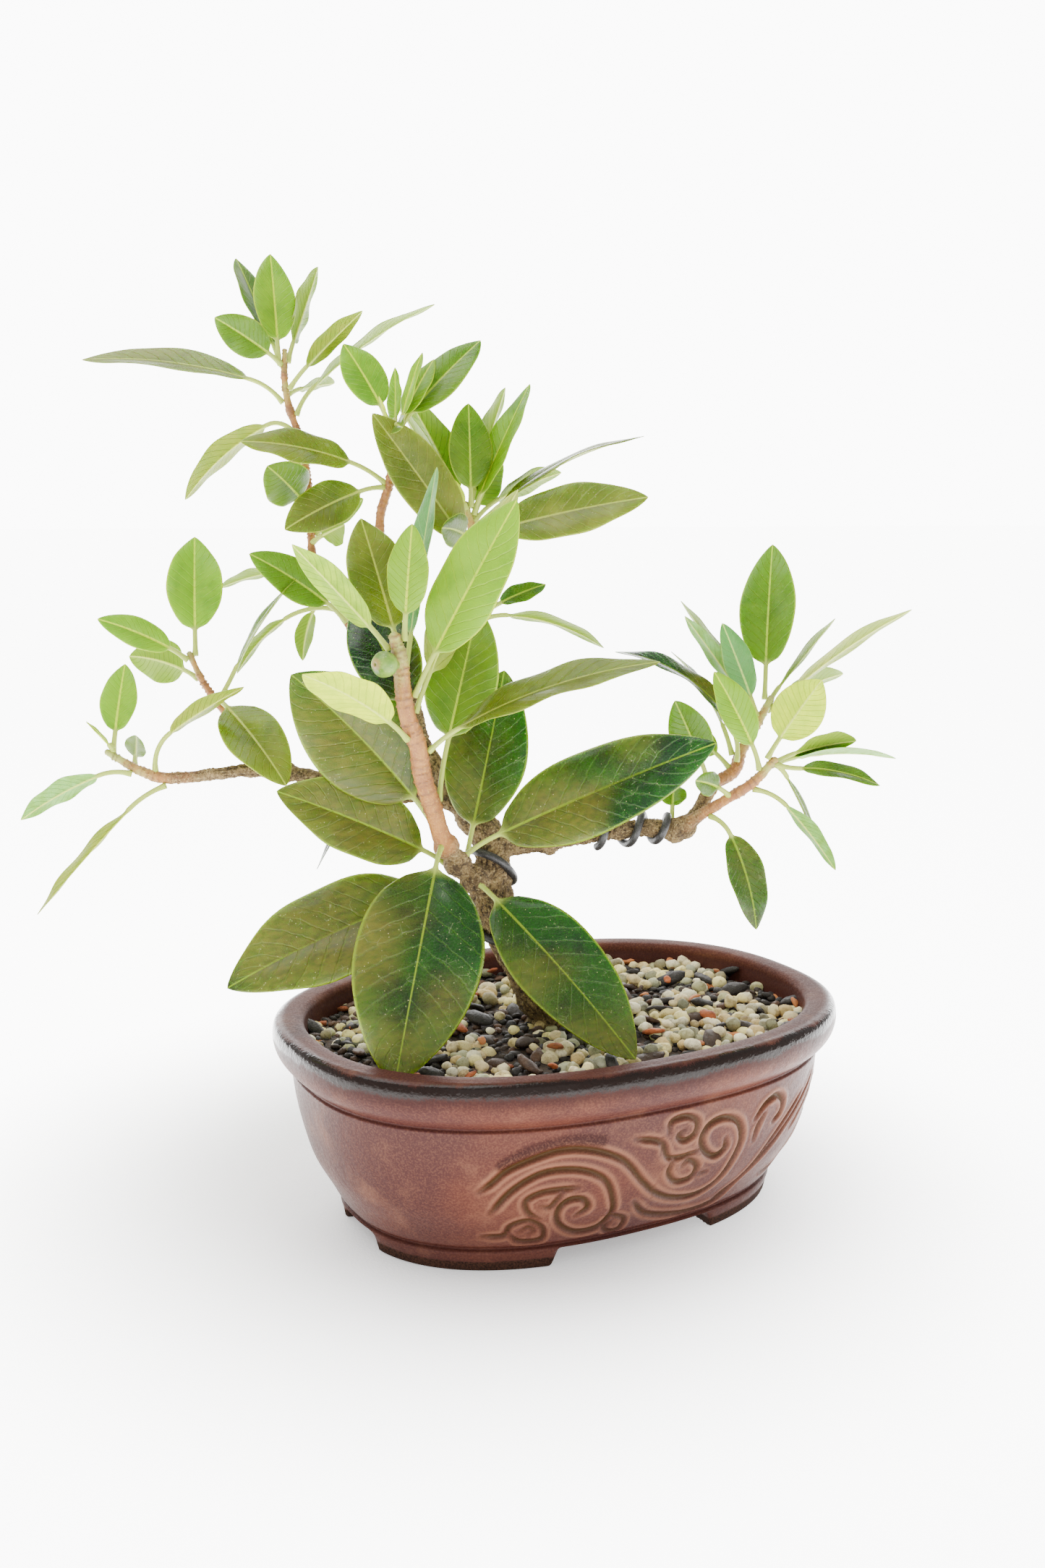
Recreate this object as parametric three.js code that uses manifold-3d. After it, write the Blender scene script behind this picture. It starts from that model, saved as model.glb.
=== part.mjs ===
// A small-leaved fig tree trained as a bonsai, rooted in an oval glazed pot.
// Lengths are millimetres. +X runs along the long side of the pot, -Y is the decorated front, +Z is up.
import * as THREE from "three";
import { mergeVertices } from "three/addons/utils/BufferGeometryUtils.js";
import Module from "manifold-3d";

// ---- the pot ----------------------------------------------------------------------------------
const potLength = 203;             // outside of the lip, along X
const potWidth = 154;              // outside of the lip, along Y
const potHeight = 72;              // foot to lip
const squareness = 2.38;           // 2 would be a plain ellipse, more is squarer at the corners
const lipWidth = 10.5;             // flat of the lip
const wall = 7;                    // thickness of the fired wall
const footHeight = 6.5;            // daylight under the floor between the feet
const footGapLong = 64;            // gap between two feet along the long side
const footGapShort = 30;           // gap between two feet at the ends
const floorThickness = 6;
const drainHole = 13;              // bore of each of the two drain holes
const drainSpacing = 84;

// ---- fits -------------------------------------------------------------------------------------
const clearance = 0.3;             // gap left between two pieces that touch

// ---- the grit and the root ----------------------------------------------------------------------
const gritBelowLip = 8;            // the grit at the wall stops this far under the lip
const gritDome = 2.5;              // the grit is this much higher at the trunk
const moundTop = 102;              // length of the level top of the mound, along X
const rootDepth = 24;              // how far the root stock goes into the grit
const rootRadius = 10;

// ---- wood, wire, fig ----------------------------------------------------------------------------
const wireRadius = 1.7;
const figRadius = 4.6;
const leafThickness = 0.8;
const stalkRadius = 0.85;
const leafFold = 0.2;              // rise of the blade edge over the midrib, per millimetre of width

const api = await Module();
api.setup();

const gritLevel = potHeight - gritBelowLip;
const floorTop = footHeight + floorThickness;

// ---- helpers ----------------------------------------------------------------------------------

function bare(geometry) {
  geometry.deleteAttribute("normal");
  geometry.deleteAttribute("uv");
  return mergeVertices(geometry, 1e-4);
}

// A capped round bar whose rings are carried onto another shape. place(along, round, reach)
// gives the new point: along is 0 to 1, round is the angle, reach is 0 on the axis and 1 on the skin.
function carried(sides, steps, place) {
  const bar = bare(new THREE.CylinderGeometry(1, 1, 1, sides, steps));
  const spots = bar.attributes.position;
  for (let i = 0; i < spots.count; i += 1) {
    const across = spots.getX(i);
    const over = spots.getZ(i);
    const point = place(spots.getY(i) + 0.5, Math.atan2(over, across), Math.hypot(across, over));
    spots.setXYZ(i, point.x, point.y, point.z);
  }
  return bar;
}

// A lathe turning whose round is pushed out to the oval of the pot. Each profile point is
// [inset from the lip outline, height]; an inset of null sits on the axis.
function ovalTurning(profile, sides) {
  const outline = profile.map(([inset, height]) => {
    return new THREE.Vector2(inset === null ? 0 : 200 - inset, height);
  });
  const turned = bare(new THREE.LatheGeometry(outline, sides));
  turned.rotateX(Math.PI / 2);
  const spots = turned.attributes.position;
  for (let i = 0; i < spots.count; i += 1) {
    const x = spots.getX(i);
    const y = spots.getY(i);
    const radius = Math.hypot(x, y);
    if (radius > 1) {
      const inset = 200 - radius;
      const cosine = x / radius;
      const sine = y / radius;
      const power = 2 / squareness;
      const reachX = (potLength / 2 - inset) * Math.sign(cosine) * Math.abs(cosine) ** power;
      const reachY = (potWidth / 2 - inset) * Math.sign(sine) * Math.abs(sine) ** power;
      spots.setXYZ(i, reachX, reachY, spots.getZ(i));
    }
  }
  return turned;
}

function toSolid(geometry) {
  const clean = geometry.index ? geometry : bare(geometry);
  const mesh = new api.Mesh({
    numProp: 3,
    vertProperties: new Float32Array(clean.attributes.position.array),
    triVerts: new Uint32Array(clean.index.array),
  });
  mesh.merge();
  return new api.Manifold(mesh);
}

function fromSolid(solid) {
  const mesh = solid.getMesh();
  const geometry = new THREE.BufferGeometry();
  const count = mesh.vertProperties.length / mesh.numProp;
  const spots = new Float32Array(count * 3);
  for (let i = 0; i < count; i += 1) {
    for (let axis = 0; axis < 3; axis += 1) {
      spots[i * 3 + axis] = mesh.vertProperties[i * mesh.numProp + axis];
    }
  }
  geometry.setAttribute("position", new THREE.BufferAttribute(spots, 3));
  geometry.setIndex(Array.from(mesh.triVerts));
  return geometry;
}

const object = new THREE.Group();
object.name = "bonsai_fig_in_oval_pot";

function add(name, geometry, colour, roughness, metalness) {
  const material = new THREE.MeshStandardMaterial({ color: colour, roughness, metalness });
  const mesh = new THREE.Mesh(geometry, material);
  mesh.name = name;
  object.add(mesh);
  return mesh;
}

// ---- pot: one fired piece with lip, belly, foot ring cut into four feet --------------------------

const lipDrop = potHeight - 57;    // depth of the lip from top to the groove under it
const lipFoot = potHeight - lipDrop;
const potProfile = [
  [null, footHeight],
  [34, footHeight],
  [34, 0],
  [22.8, 0],
  [21.4, footHeight + 0.8],
  [22.6, footHeight + 1.5],
  [21.6, footHeight + 2.5],
  [17.6, 16],
  [12.6, 25],
  [9.5, 35],
  [7.3, 45],
  [6.2, lipFoot - 3.5],
  [6.9, lipFoot - 2],
  [5.6, lipFoot - 0.6],
  [1.8, lipFoot + 3],
  [0, lipFoot + 8],
  [0.7, potHeight - 2],
  [2.6, potHeight],
  [lipWidth - 2.5, potHeight],
  [lipWidth, potHeight - 1.2],
  [lipWidth + 1, potHeight - 6],
  [6.2 + wall, lipFoot - 3.5],
  [7.3 + wall, 45],
  [9.5 + wall, 35],
  [12.6 + wall, 25],
  [19 + wall, floorTop + 2],
  [23 + wall, floorTop],
  [null, floorTop],
];

function footArch(width, depth) {
  const arch = new THREE.Shape();
  arch.moveTo(-width / 2, -1);
  arch.lineTo(width / 2, -1);
  arch.lineTo(width / 2 - 3.5, footHeight);
  arch.lineTo(-width / 2 + 3.5, footHeight);
  arch.closePath();
  const cutter = new THREE.ExtrudeGeometry(arch, { depth, bevelEnabled: false });
  cutter.translate(0, 0, -depth / 2);
  cutter.rotateX(Math.PI / 2);
  return bare(cutter);
}

const sideArch = toSolid(footArch(footGapLong, potWidth * 1.2));
const endArch = toSolid(footArch(footGapShort, potLength * 1.2).rotateZ(Math.PI / 2));
let pot = toSolid(ovalTurning(potProfile, 44)).subtract(sideArch).subtract(endArch);
for (const side of [-1, 1]) {
  const bore = new THREE.CylinderGeometry(drainHole / 2, drainHole / 2, floorThickness * 3, 24);
  bore.rotateX(Math.PI / 2);
  bore.translate((side * drainSpacing) / 2, 0, floorTop - floorThickness / 2);
  pot = pot.subtract(toSolid(bare(bore)));
}
add("pot", fromSolid(pot), 0x9a6757, 0.4, 0.0);

// ---- wood: trunk, branches and twigs as one grown piece ------------------------------------------

// Each limb is a list of [x, y, height above the grit at the wall, radius of the wood there].
const limbs = {
  trunk: [
    [-3, 0, -rootDepth, rootRadius],
    [-3, 0, -4, rootRadius],
    [-3, 0, 4, 8.6],
    [-9, 1, 14, 7.8],
    [-17, 5, 31, 7.3],
    [-24, 6, 47, 6.8],
    [-23, 7, 60, 6.2],
    [-23, 12, 69, 6],
    [-27, 21, 78, 5.2],
    [-31, 30, 87, 4.4],
  ],
  front: [
    [-23, 6, 49, 4.6],
    [-32, 3, 55, 4],
    [-39, 3, 62, 3.6],
    [-45, 1, 71, 3.5],
    [-49, -1, 81, 3.4],
    [-54, -3, 94, 3.4],
    [-56, -4, 104, 3.3],
    [-60, -5, 114, 3.1],
    [-62, -6, 124, 2.9],
    [-63, -7, 132, 2.7],
    [-65, -7, 140, 2],
  ],
  left: [
    [-27, 21, 78, 4],
    [-46, 30, 83, 3.4],
    [-64, 38, 85, 3.1],
    [-83, 46, 90, 3],
    [-94, 51, 91, 2.8],
    [-106, 55, 90, 2.5],
    [-123, 61, 89, 2.2],
    [-131, 64, 92, 1.9],
    [-140, 69, 98, 1.3],
  ],
  leftTwig: [
    [-87, 48, 90, 2.2],
    [-95, 60, 103, 1.7],
    [-101, 67, 113, 1.5],
    [-105, 72, 121, 1.4],
    [-108, 76, 130, 1.1],
  ],
  right: [
    [-20, 8, 65, 5],
    [-3, 3, 66, 4],
    [15, -2, 68, 3.7],
    [33, -8, 69, 3.6],
    [43, -11, 68, 3.4],
    [50, -12, 74, 3.1],
    [56, -12, 83, 2.8],
    [64, -14, 88, 2.5],
    [67, -13, 94, 2.3],
    [72, -13, 101, 2],
    [80, -13, 113, 1.4],
  ],
  rightTwig: [
    [41, -11, 68, 2.6],
    [49, -18, 75, 2.2],
    [56, -24, 81, 2.1],
    [62, -28, 86, 2],
    [68, -32, 94, 1.5],
  ],
  apexLeft: [
    [-31, 29, 86, 3.4],
    [-39, 44, 108, 2.5],
    [-48, 58, 129, 2],
    [-55, 70, 148, 1.7],
    [-60, 77, 160, 1.6],
    [-59, 83, 178, 1.6],
    [-59, 86, 194, 1.6],
    [-60, 91, 208, 1.5],
    [-62, 94, 217, 1.5],
    [-63, 96, 227, 1.4],
    [-62, 98, 238, 1.1],
  ],
  apexMid: [
    [-35, 32, 90, 2.6],
    [-37, 46, 123, 2.1],
    [-39, 60, 159, 1.9],
    [-39, 65, 177, 1.9],
    [-36, 63, 190, 1.8],
    [-35, 60, 202, 1.7],
    [-35, 60, 211, 1.3],
  ],
  apexRight: [
    [-29, 28, 84, 2.8],
    [-18, 37, 115, 2.3],
    [-8, 47, 148, 2.1],
    [-6, 55, 171, 2],
    [-8, 58, 182, 1.6],
  ],
};

function limbCurve(name) {
  const knots = limbs[name].map(([x, y, height]) => new THREE.Vector3(x, y, gritLevel + height));
  return new THREE.CatmullRomCurve3(knots, false, "centripetal");
}

function limbRadius(name, along) {
  const stations = limbs[name];
  const place = along * (stations.length - 1);
  const below = Math.min(Math.floor(place), stations.length - 2);
  return THREE.MathUtils.lerp(stations[below][3], stations[below + 1][3], place - below);
}

// A frame that follows a limb without twisting: the side stays as level as it can.
function frameOn(curve, along) {
  const centre = curve.getPoint(along);
  const ahead = curve.getTangent(along);
  const side = new THREE.Vector3(0.31, 0.95, 0.05).cross(ahead).normalize();
  const over = new THREE.Vector3().crossVectors(side, ahead).normalize();
  return { centre, ahead, side, over };
}

function limbSolid(name, sides) {
  const curve = limbCurve(name);
  const steps = (limbs[name].length - 1) * 2;
  return toSolid(carried(sides, steps, (along, round, reach) => {
    const { centre, side, over } = frameOn(curve, along);
    const radius = limbRadius(name, along) * reach;
    return centre.addScaledVector(side, Math.cos(round) * radius)
      .addScaledVector(over, Math.sin(round) * radius);
  }));
}

let wood = limbSolid("trunk", 12);
for (const name of Object.keys(limbs).slice(1)) {
  wood = wood.add(limbSolid(name, 8));
}
add("trunk", fromSolid(wood), 0x6f5a42, 0.9, 0.0);

// ---- grit: fills the pot, with a socket for the root stock ----------------------------------------

const gritEdge = lipWidth + 2 + clearance;
const moundEdge = (potLength - moundTop) / 2;
const gritProfile = [
  [null, floorTop + clearance],
  [24 + wall, floorTop + clearance],
  [19 + wall + 1, floorTop + 2.5],
  [12.6 + wall + clearance, 25],
  [9.5 + wall + clearance, 35],
  [7.3 + wall + clearance, 45],
  [6.2 + wall + clearance, lipFoot - 3.5],
  [gritEdge, gritLevel],
  [THREE.MathUtils.lerp(gritEdge, moundEdge, 0.3), gritLevel + gritDome / 2],
  [moundEdge, gritLevel + gritDome],
  [null, gritLevel + gritDome],
];
const socketProfile = new THREE.CylinderGeometry(
  rootRadius + clearance + 0.2,
  rootRadius + clearance + 0.2,
  rootDepth + 40,
  24,
);
socketProfile.rotateX(Math.PI / 2);
socketProfile.translate(-3, 0, gritLevel - rootDepth - clearance + (rootDepth + 40) / 2);
const grit = toSolid(ovalTurning(gritProfile, 44)).subtract(toSolid(bare(socketProfile)));
add("soil", fromSolid(grit), 0x8f8a78, 0.95, 0.0);

// ---- training wire ------------------------------------------------------------------------------

// A coil that lies on a limb from one place to another, clear of the bark.
function coil(name, from, to, turns, startAngle) {
  const curve = limbCurve(name);
  const spots = [];
  const count = Math.round(turns * 11);
  for (let i = 0; i <= count; i += 1) {
    const along = THREE.MathUtils.lerp(from, to, i / count);
    const angle = startAngle + (turns * 2 * Math.PI * i) / count;
    const { centre, side, over } = frameOn(curve, along);
    const reach = limbRadius(name, along) + wireRadius + clearance + 0.1;
    spots.push(centre.addScaledVector(side, Math.cos(angle) * reach)
      .addScaledVector(over, Math.sin(angle) * reach));
  }
  const path = new THREE.CatmullRomCurve3(spots, false, "centripetal");
  const section = new THREE.Shape().absarc(0, 0, wireRadius, 0, Math.PI * 2);
  return bare(new THREE.ExtrudeGeometry(section, {
    steps: count, curveSegments: 3, extrudePath: path, bevelEnabled: false,
  }));
}

add("wire_trunk", coil("trunk", 0.4, 0.72, 1.5, 0), 0x14161a, 0.45, 0.6);
add("wire_right", coil("right", 0.19, 0.35, 2.6, 0.4), 0x14161a, 0.45, 0.6);

// ---- fig ----------------------------------------------------------------------------------------

function direction(heading, climb) {
  const turn = THREE.MathUtils.degToRad(heading);
  const rise = THREE.MathUtils.degToRad(climb);
  return new THREE.Vector3(
    Math.cos(rise) * Math.cos(turn),
    Math.cos(rise) * Math.sin(turn),
    Math.sin(rise),
  );
}

// Where something that grows off a limb begins, just clear of the bark.
function seat(limb, along, heading, climb, halfThickness) {
  const curve = limbCurve(limb);
  const centre = curve.getPoint(along);
  const ahead = curve.getTangent(along);
  const way = direction(heading, climb);
  const lean = way.dot(ahead);
  const outward = way.clone().addScaledVector(ahead, -lean).normalize();
  const reach = limbRadius(limb, along) + clearance + halfThickness * Math.abs(lean);
  return centre.addScaledVector(outward, reach);
}

{
  const profile = [];
  for (let i = 0; i <= 10; i += 1) {
    const angle = (Math.PI * i) / 10;
    const swell = figRadius * (1 - 0.06 * Math.cos(angle * 2));
    profile.push(new THREE.Vector2(Math.sin(angle) * swell, -Math.cos(angle) * swell));
  }
  profile[0].x = 0;
  profile[10].x = 0;
  const fig = bare(new THREE.LatheGeometry(profile, 12));
  const base = seat("front", 0.9, 200, 4, 0);
  const way = direction(200, 4);
  const turn = new THREE.Quaternion().setFromUnitVectors(new THREE.Vector3(0, 1, 0), way);
  fig.applyQuaternion(turn);
  const centre = base.addScaledVector(way, figRadius * 0.95);
  fig.translate(centre.x, centre.y, centre.z);
  add("fig", fig, 0x8fb070, 0.5, 0.0);
}

// ---- leaves -------------------------------------------------------------------------------------

// A leaf is a thin stalk that widens into a folded blade. It leaves the limb on its heading,
// the stalk bends over by the knee, and the blade droops along its length.
function leafGeometry(limb, along, heading, climb, knee, droop, stalk, blade, width, roll) {
  const steps = [0, stalk];
  for (const part of [0.1, 0.33, 0.58, 0.82, 1]) {
    steps.push(stalk + part * blade);
  }
  function climbAt(distance) {
    if (distance < stalk) {
      return climb + knee * (1 - distance / stalk);
    }
    return climb - (droop * (distance - stalk)) / blade;
  }

  const base = seat(limb, along, heading, climb + knee, stalkRadius);
  const twist = THREE.MathUtils.degToRad(roll);
  const stations = [];
  const centre = base.clone();
  let reached = 0;
  for (const distance of steps) {
    while (reached < distance - 1e-9) {
      const move = Math.min(0.25, distance - reached);
      const middle = reached + move / 2;
      centre.addScaledVector(direction(heading, climbAt(middle)), move);
      reached += move;
    }
    const rise = climbAt(distance);
    const ahead = direction(heading, rise);
    const up = direction(heading, rise + 90);
    const aside = new THREE.Vector3().crossVectors(ahead, up);
    const side = aside.clone().multiplyScalar(Math.cos(twist)).addScaledVector(up, -Math.sin(twist));
    const over = up.clone().multiplyScalar(Math.cos(twist)).addScaledVector(aside, Math.sin(twist));
    const part = Math.max(0, (distance - stalk) / blade);
    const swell = (4 * part * (1 - part)) ** 0.6;
    const half = part > 0 ? Math.max(0.3, (swell * width) / 2) : stalkRadius;
    const thick = part > 0 ? (leafThickness / 2) * (0.45 + 0.55 * swell) : stalkRadius;
    const crease = part > 0 ? leafFold * Math.min(1, part * 6) * Math.min(1, (1 - part) * 4) : 0;
    stations.push({ centre: centre.clone(), side, over, half, thick, crease });
  }

  return carried(8, stations.length - 1, (share, round, reach) => {
    const station = stations[Math.round(share * (stations.length - 1))];
    const across = Math.cos(round) * reach * station.half;
    const lift = Math.sin(round) * reach * station.thick + Math.abs(across) * station.crease;
    return station.centre.clone().addScaledVector(station.side, across)
      .addScaledVector(station.over, lift);
  });
}

const youngLeaf = 0x8fb021;
const grownLeaf = 0x4f7a26;
const oldLeaf = 0x2c4a22;
// Each row: name, place along the limb (0 to 1), heading and climb of the blade in degrees,
// knee and droop in degrees, stalk, blade and width in millimetres, roll about the midrib.
const foliage = {
  apexLeft: [
    ["leaf_top_1", 0.98, 78, 69, 10, 5, 6, 36, 16, 8, youngLeaf],
    ["leaf_top_2", 0.97, 103, 55, 10, 5, 7, 43, 15, 10, grownLeaf],
    ["leaf_top_3", 0.96, 176, 35, 10, 5, 5, 23, 14, -103, grownLeaf],
    ["leaf_top_4", 0.88, 326, 45, 10, 5, 9, 29, 11, -30, grownLeaf],
    ["leaf_top_5", 0.84, 144, 16, 35, 20, 14, 66, 17, -15, grownLeaf],
    ["leaf_top_6", 0.78, 351, 44, 25, 20, 11, 57, 14, -16, grownLeaf],
    ["leaf_top_7", 0.73, 151, -27, 70, 25, 9, 42, 14, 29, grownLeaf],
    ["leaf_top_8", 0.52, 215, 34, 10, 5, 5, 22, 18, -127, grownLeaf],
    ["leaf_top_9", 0.26, 165, 39, 15, 15, 8, 33, 15, -75, grownLeaf],
  ],
  apexMid: [
    ["leaf_mid_1", 1.0, 126, 59, 10, 5, 7, 27, 15, -52, youngLeaf],
    ["leaf_mid_2", 0.97, 6, 46, 10, 5, 7, 40, 16, 40, grownLeaf],
    ["leaf_mid_3", 0.67, 167, 20, 20, 20, 13, 40, 16, -49, grownLeaf],
    ["leaf_mid_4", 0.64, 171, -20, 20, 15, 8, 31, 17, -68, grownLeaf],
  ],
  apexRight: [
    ["leaf_high_1", 1.0, 72, 81, 10, 5, 5, 32, 17, 10, grownLeaf],
    ["leaf_high_2", 1.0, 114, 59, 10, 5, 6, 42, 16, 88, grownLeaf],
    ["leaf_high_3", 0.93, 5, 64, 10, 5, 6, 47, 17, 5, youngLeaf],
    ["leaf_high_4", 0.66, 173, 54, 10, 5, 8, 54, 22, -78, oldLeaf],
    ["leaf_high_5", 0.87, 9, 26, 20, 15, 12, 32, 12, -51, grownLeaf],
    ["leaf_high_6", 0.8, 348, 40, 15, 30, 10, 63, 15, 3, grownLeaf],
    ["leaf_high_7", 0.74, 327, 15, 15, 10, 8, 55, 21, 65, oldLeaf],
  ],
  front: [
    ["leaf_front_1", 0.77, 327, 62, 5, 5, 14, 56, 23, 72, youngLeaf],
    ["leaf_front_2", 0.71, 2, 65, 5, 5, 12, 69, 24, -70, grownLeaf],
    ["leaf_front_3", 0.99, 317, 85, 3, 5, 7, 29, 14, 93, youngLeaf],
    ["leaf_front_4", 0.97, 158, 49, 5, 5, 8, 36, 13, 53, youngLeaf],
    ["leaf_front_5", 0.93, 107, 67, 5, 5, 8, 39, 21, -26, grownLeaf],
    ["leaf_front_6", 0.84, 40, 70, 5, 5, 12, 60, 18, -39, grownLeaf],
    ["leaf_front_7", 0.65, 201, 34, 10, 15, 9, 41, 17, 32, youngLeaf],
    ["leaf_front_8", 0.3, 157, 53, 10, 8, 14, 59, 36, -84, oldLeaf],
    ["leaf_front_9", 0.21, 167, 28, 10, 12, 8, 54, 26, -67, oldLeaf],
    ["leaf_front_10", 0.12, 172, -15, 15, 15, 12, 74, 33, -55, oldLeaf],
    ["leaf_front_11", 0.29, 229, -50, 25, 15, 8, 74, 42, -17, oldLeaf],
    ["leaf_front_12", 0.1, 298, -36, 5, 3, 7, 73, 30, 40, oldLeaf],
    ["leaf_front_13", 0.2, 327, 26, 15, 8, 13, 80, 30, 63, oldLeaf],
    ["leaf_front_14", 0.58, 331, 30, 15, 25, 11, 70, 18, 25, grownLeaf],
    ["leaf_front_15", 0.18, 29, 67, 5, 3, 10, 57, 29, 18, oldLeaf],
    ["leaf_front_16", 0.42, 26, 68, 15, 5, 20, 47, 25, 23, grownLeaf],
    ["leaf_front_17", 0.65, 98, 53, 10, 5, 9, 43, 23, -29, oldLeaf],
  ],
  leftTwig: [
    ["leaf_left_1", 1.0, 72, 64, 5, 3, 8, 37, 20, 2, youngLeaf],
    ["leaf_left_2", 0.98, 161, 30, 10, 15, 6, 27, 11, -69, youngLeaf],
    ["leaf_left_3", 0.81, 117, 16, 10, 15, 6, 29, 16, 97, grownLeaf],
    ["leaf_left_6", 0.51, 288, -29, 10, 20, 5, 40, 20, 28, grownLeaf],
  ],
  left: [
    ["leaf_left_4", 0.99, 53, 67, 5, 5, 6, 25, 13, 8, youngLeaf],
    ["leaf_left_5", 0.8, 327, 38, 55, 12, 14, 31, 11, -27, grownLeaf],
    ["leaf_left_7", 0.9, 164, -20, 35, 20, 10, 30, 11, 49, grownLeaf],
    ["leaf_left_8", 0.75, 173, -44, 25, 5, 14, 47, 11, 29, grownLeaf],
  ],
  right: [
    ["leaf_right_1", 1.0, 51, 69, 3, 3, 11, 47, 21, -14, grownLeaf],
    ["leaf_right_2", 0.95, 160, 68, 5, 5, 6, 29, 12, -75, grownLeaf],
    ["leaf_right_5", 0.99, 346, 39, 5, 15, 8, 55, 12, -33, grownLeaf],
    ["leaf_right_9", 0.76, 142, 56, 40, 50, 14, 49, 14, -16, oldLeaf],
  ],
  rightTwig: [
    ["leaf_right_3", 0.88, 164, 64, 15, 5, 8, 30, 13, -84, youngLeaf],
    ["leaf_right_4", 1.0, 320, 58, 5, 5, 7, 25, 18, -90, youngLeaf],
    ["leaf_right_6", 1.0, 3, 11, 10, 15, 8, 29, 12, -52, grownLeaf],
    ["leaf_right_7", 0.99, 324, 1, -15, 25, 8, 28, 10, 27, grownLeaf],
    ["leaf_right_8", 0.28, 301, -61, 45, 20, 9, 35, 14, 41, oldLeaf],
  ],
};

for (const [limb, rows] of Object.entries(foliage)) {
  for (const [name, along, heading, climb, knee, droop, stalk, blade, width, roll, colour] of rows) {
    const leaf = leafGeometry(limb, along, heading, climb, knee, droop, stalk, blade, width, roll);
    add(name, leaf, colour, 0.35, 0.0);
  }
}

// ---- stand the whole thing on z = 0 with its middle over the origin --------------------------------
const extent = new THREE.Box3().setFromObject(object);
const middle = extent.getCenter(new THREE.Vector3());
object.position.set(-middle.x, -middle.y, -extent.min.z);
object.updateMatrixWorld(true);

export default object;
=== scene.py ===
import math
import random

import bmesh
import bpy
import numpy as np
from bpy.props import FloatProperty, FloatVectorProperty, IntProperty, PointerProperty
from mathutils import Matrix, Vector, kdtree, noise


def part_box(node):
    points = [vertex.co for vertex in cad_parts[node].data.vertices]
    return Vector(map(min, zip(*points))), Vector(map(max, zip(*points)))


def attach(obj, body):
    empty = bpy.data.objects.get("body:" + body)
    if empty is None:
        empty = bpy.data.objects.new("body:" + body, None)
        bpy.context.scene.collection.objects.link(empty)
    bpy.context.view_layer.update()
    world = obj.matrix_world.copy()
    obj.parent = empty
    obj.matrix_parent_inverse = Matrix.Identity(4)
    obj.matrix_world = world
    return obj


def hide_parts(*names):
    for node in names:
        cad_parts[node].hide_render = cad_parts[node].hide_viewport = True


bl_info = {
    "name": "Bonsai Fig in an Oval Pot",
    "version": (1, 0, 0),
    "blender": (4, 5, 0),
    "location": "3D View > Sidebar > Bonsai",
    "description": "Builds a wired fig bonsai in a glazed oval pot, and the stage it stands on",
    "category": "Object",
}

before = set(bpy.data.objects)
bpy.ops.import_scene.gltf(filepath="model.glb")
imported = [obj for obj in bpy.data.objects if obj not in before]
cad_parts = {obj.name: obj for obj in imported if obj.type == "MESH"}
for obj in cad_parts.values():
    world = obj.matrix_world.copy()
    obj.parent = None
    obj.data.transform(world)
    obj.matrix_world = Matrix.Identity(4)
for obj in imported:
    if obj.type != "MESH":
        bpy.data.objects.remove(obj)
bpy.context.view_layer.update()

MM = 0.001
POT_LOW, POT_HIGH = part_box("pot")
SOIL_LOW, SOIL_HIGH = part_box("soil")
POT_MIDDLE = Vector(((POT_LOW.x + POT_HIGH.x) / 2, (POT_LOW.y + POT_HIGH.y) / 2, POT_LOW.z))
POT_SIZE = (POT_HIGH - POT_LOW) / MM

GRIT_DOME = 2.5
GRIT_LEVEL = (SOIL_HIGH.z - POT_LOW.z) / MM - GRIT_DOME
FOOT_HEIGHT = 6.5
SQUARENESS = 2.38


def tone(red, green, blue):
    """A colour given as it looks, 0 to 255, as the linear colour that shaders work in."""
    shares = [value / 255 for value in (red, green, blue)]
    return (*[((share + 0.055) / 1.055) ** 2.4 if share > 0.04 else share / 12.92 for share in shares], 1.0)


def colour_of(name, description, red, green, blue):
    """A colour setting with its default."""
    return FloatVectorProperty(
        name=name, description=description, subtype="COLOR", size=4, min=0, max=1, default=tone(red, green, blue))


# ---- settings ---------------------------------------------------------------------------------------


class BONSAI_PG_pot(bpy.types.PropertyGroup):
    """The glazed pot."""
    scroll_depth: FloatProperty(
        name="Scroll depth", description="Depth of the incised scroll lines, in millimetres", default=1.25, min=0)
    scroll_width: FloatProperty(
        name="Scroll width", description="Width of the incised scroll lines, in millimetres", default=2.5, min=0.5)
    glaze: colour_of("Glaze", "Main colour of the glaze", 76, 40, 31)
    mauve: colour_of("Mauve", "Cooler colour of the glaze where it is thick", 58, 31, 29)
    blush: colour_of("Blush", "Paler colour where the glaze is thin", 118, 78, 58)
    breaking: colour_of("Breaking edge", "Black glaze on the edge of the lip", 20, 12, 9)
    red: colour_of("Iron red", "Deep red-brown glaze under the edge", 38, 8, 5)
    olive: colour_of("Olive", "Glaze pooled in the scroll lines", 52, 34, 12)
    clay: colour_of("Clay", "Unglazed clay of the feet", 30, 16, 11)


class BONSAI_PG_grit(bpy.types.PropertyGroup):
    """The gritty soil."""
    grain: FloatProperty(name="Grain", description="Usual width of a grain, in millimetres", default=4.9, min=1)
    seed: IntProperty(name="Seed", description="Seed of the random scatter", default=7)
    cream: colour_of("Cream", "Light pumice", 244, 230, 158)
    grey: colour_of("Grey", "Grey-green pumice", 150, 152, 128)
    bark: colour_of("Bark", "Black composted bark", 24, 17, 13)
    terracotta: colour_of("Terracotta", "Baked clay chips", 168, 88, 42)


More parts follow.
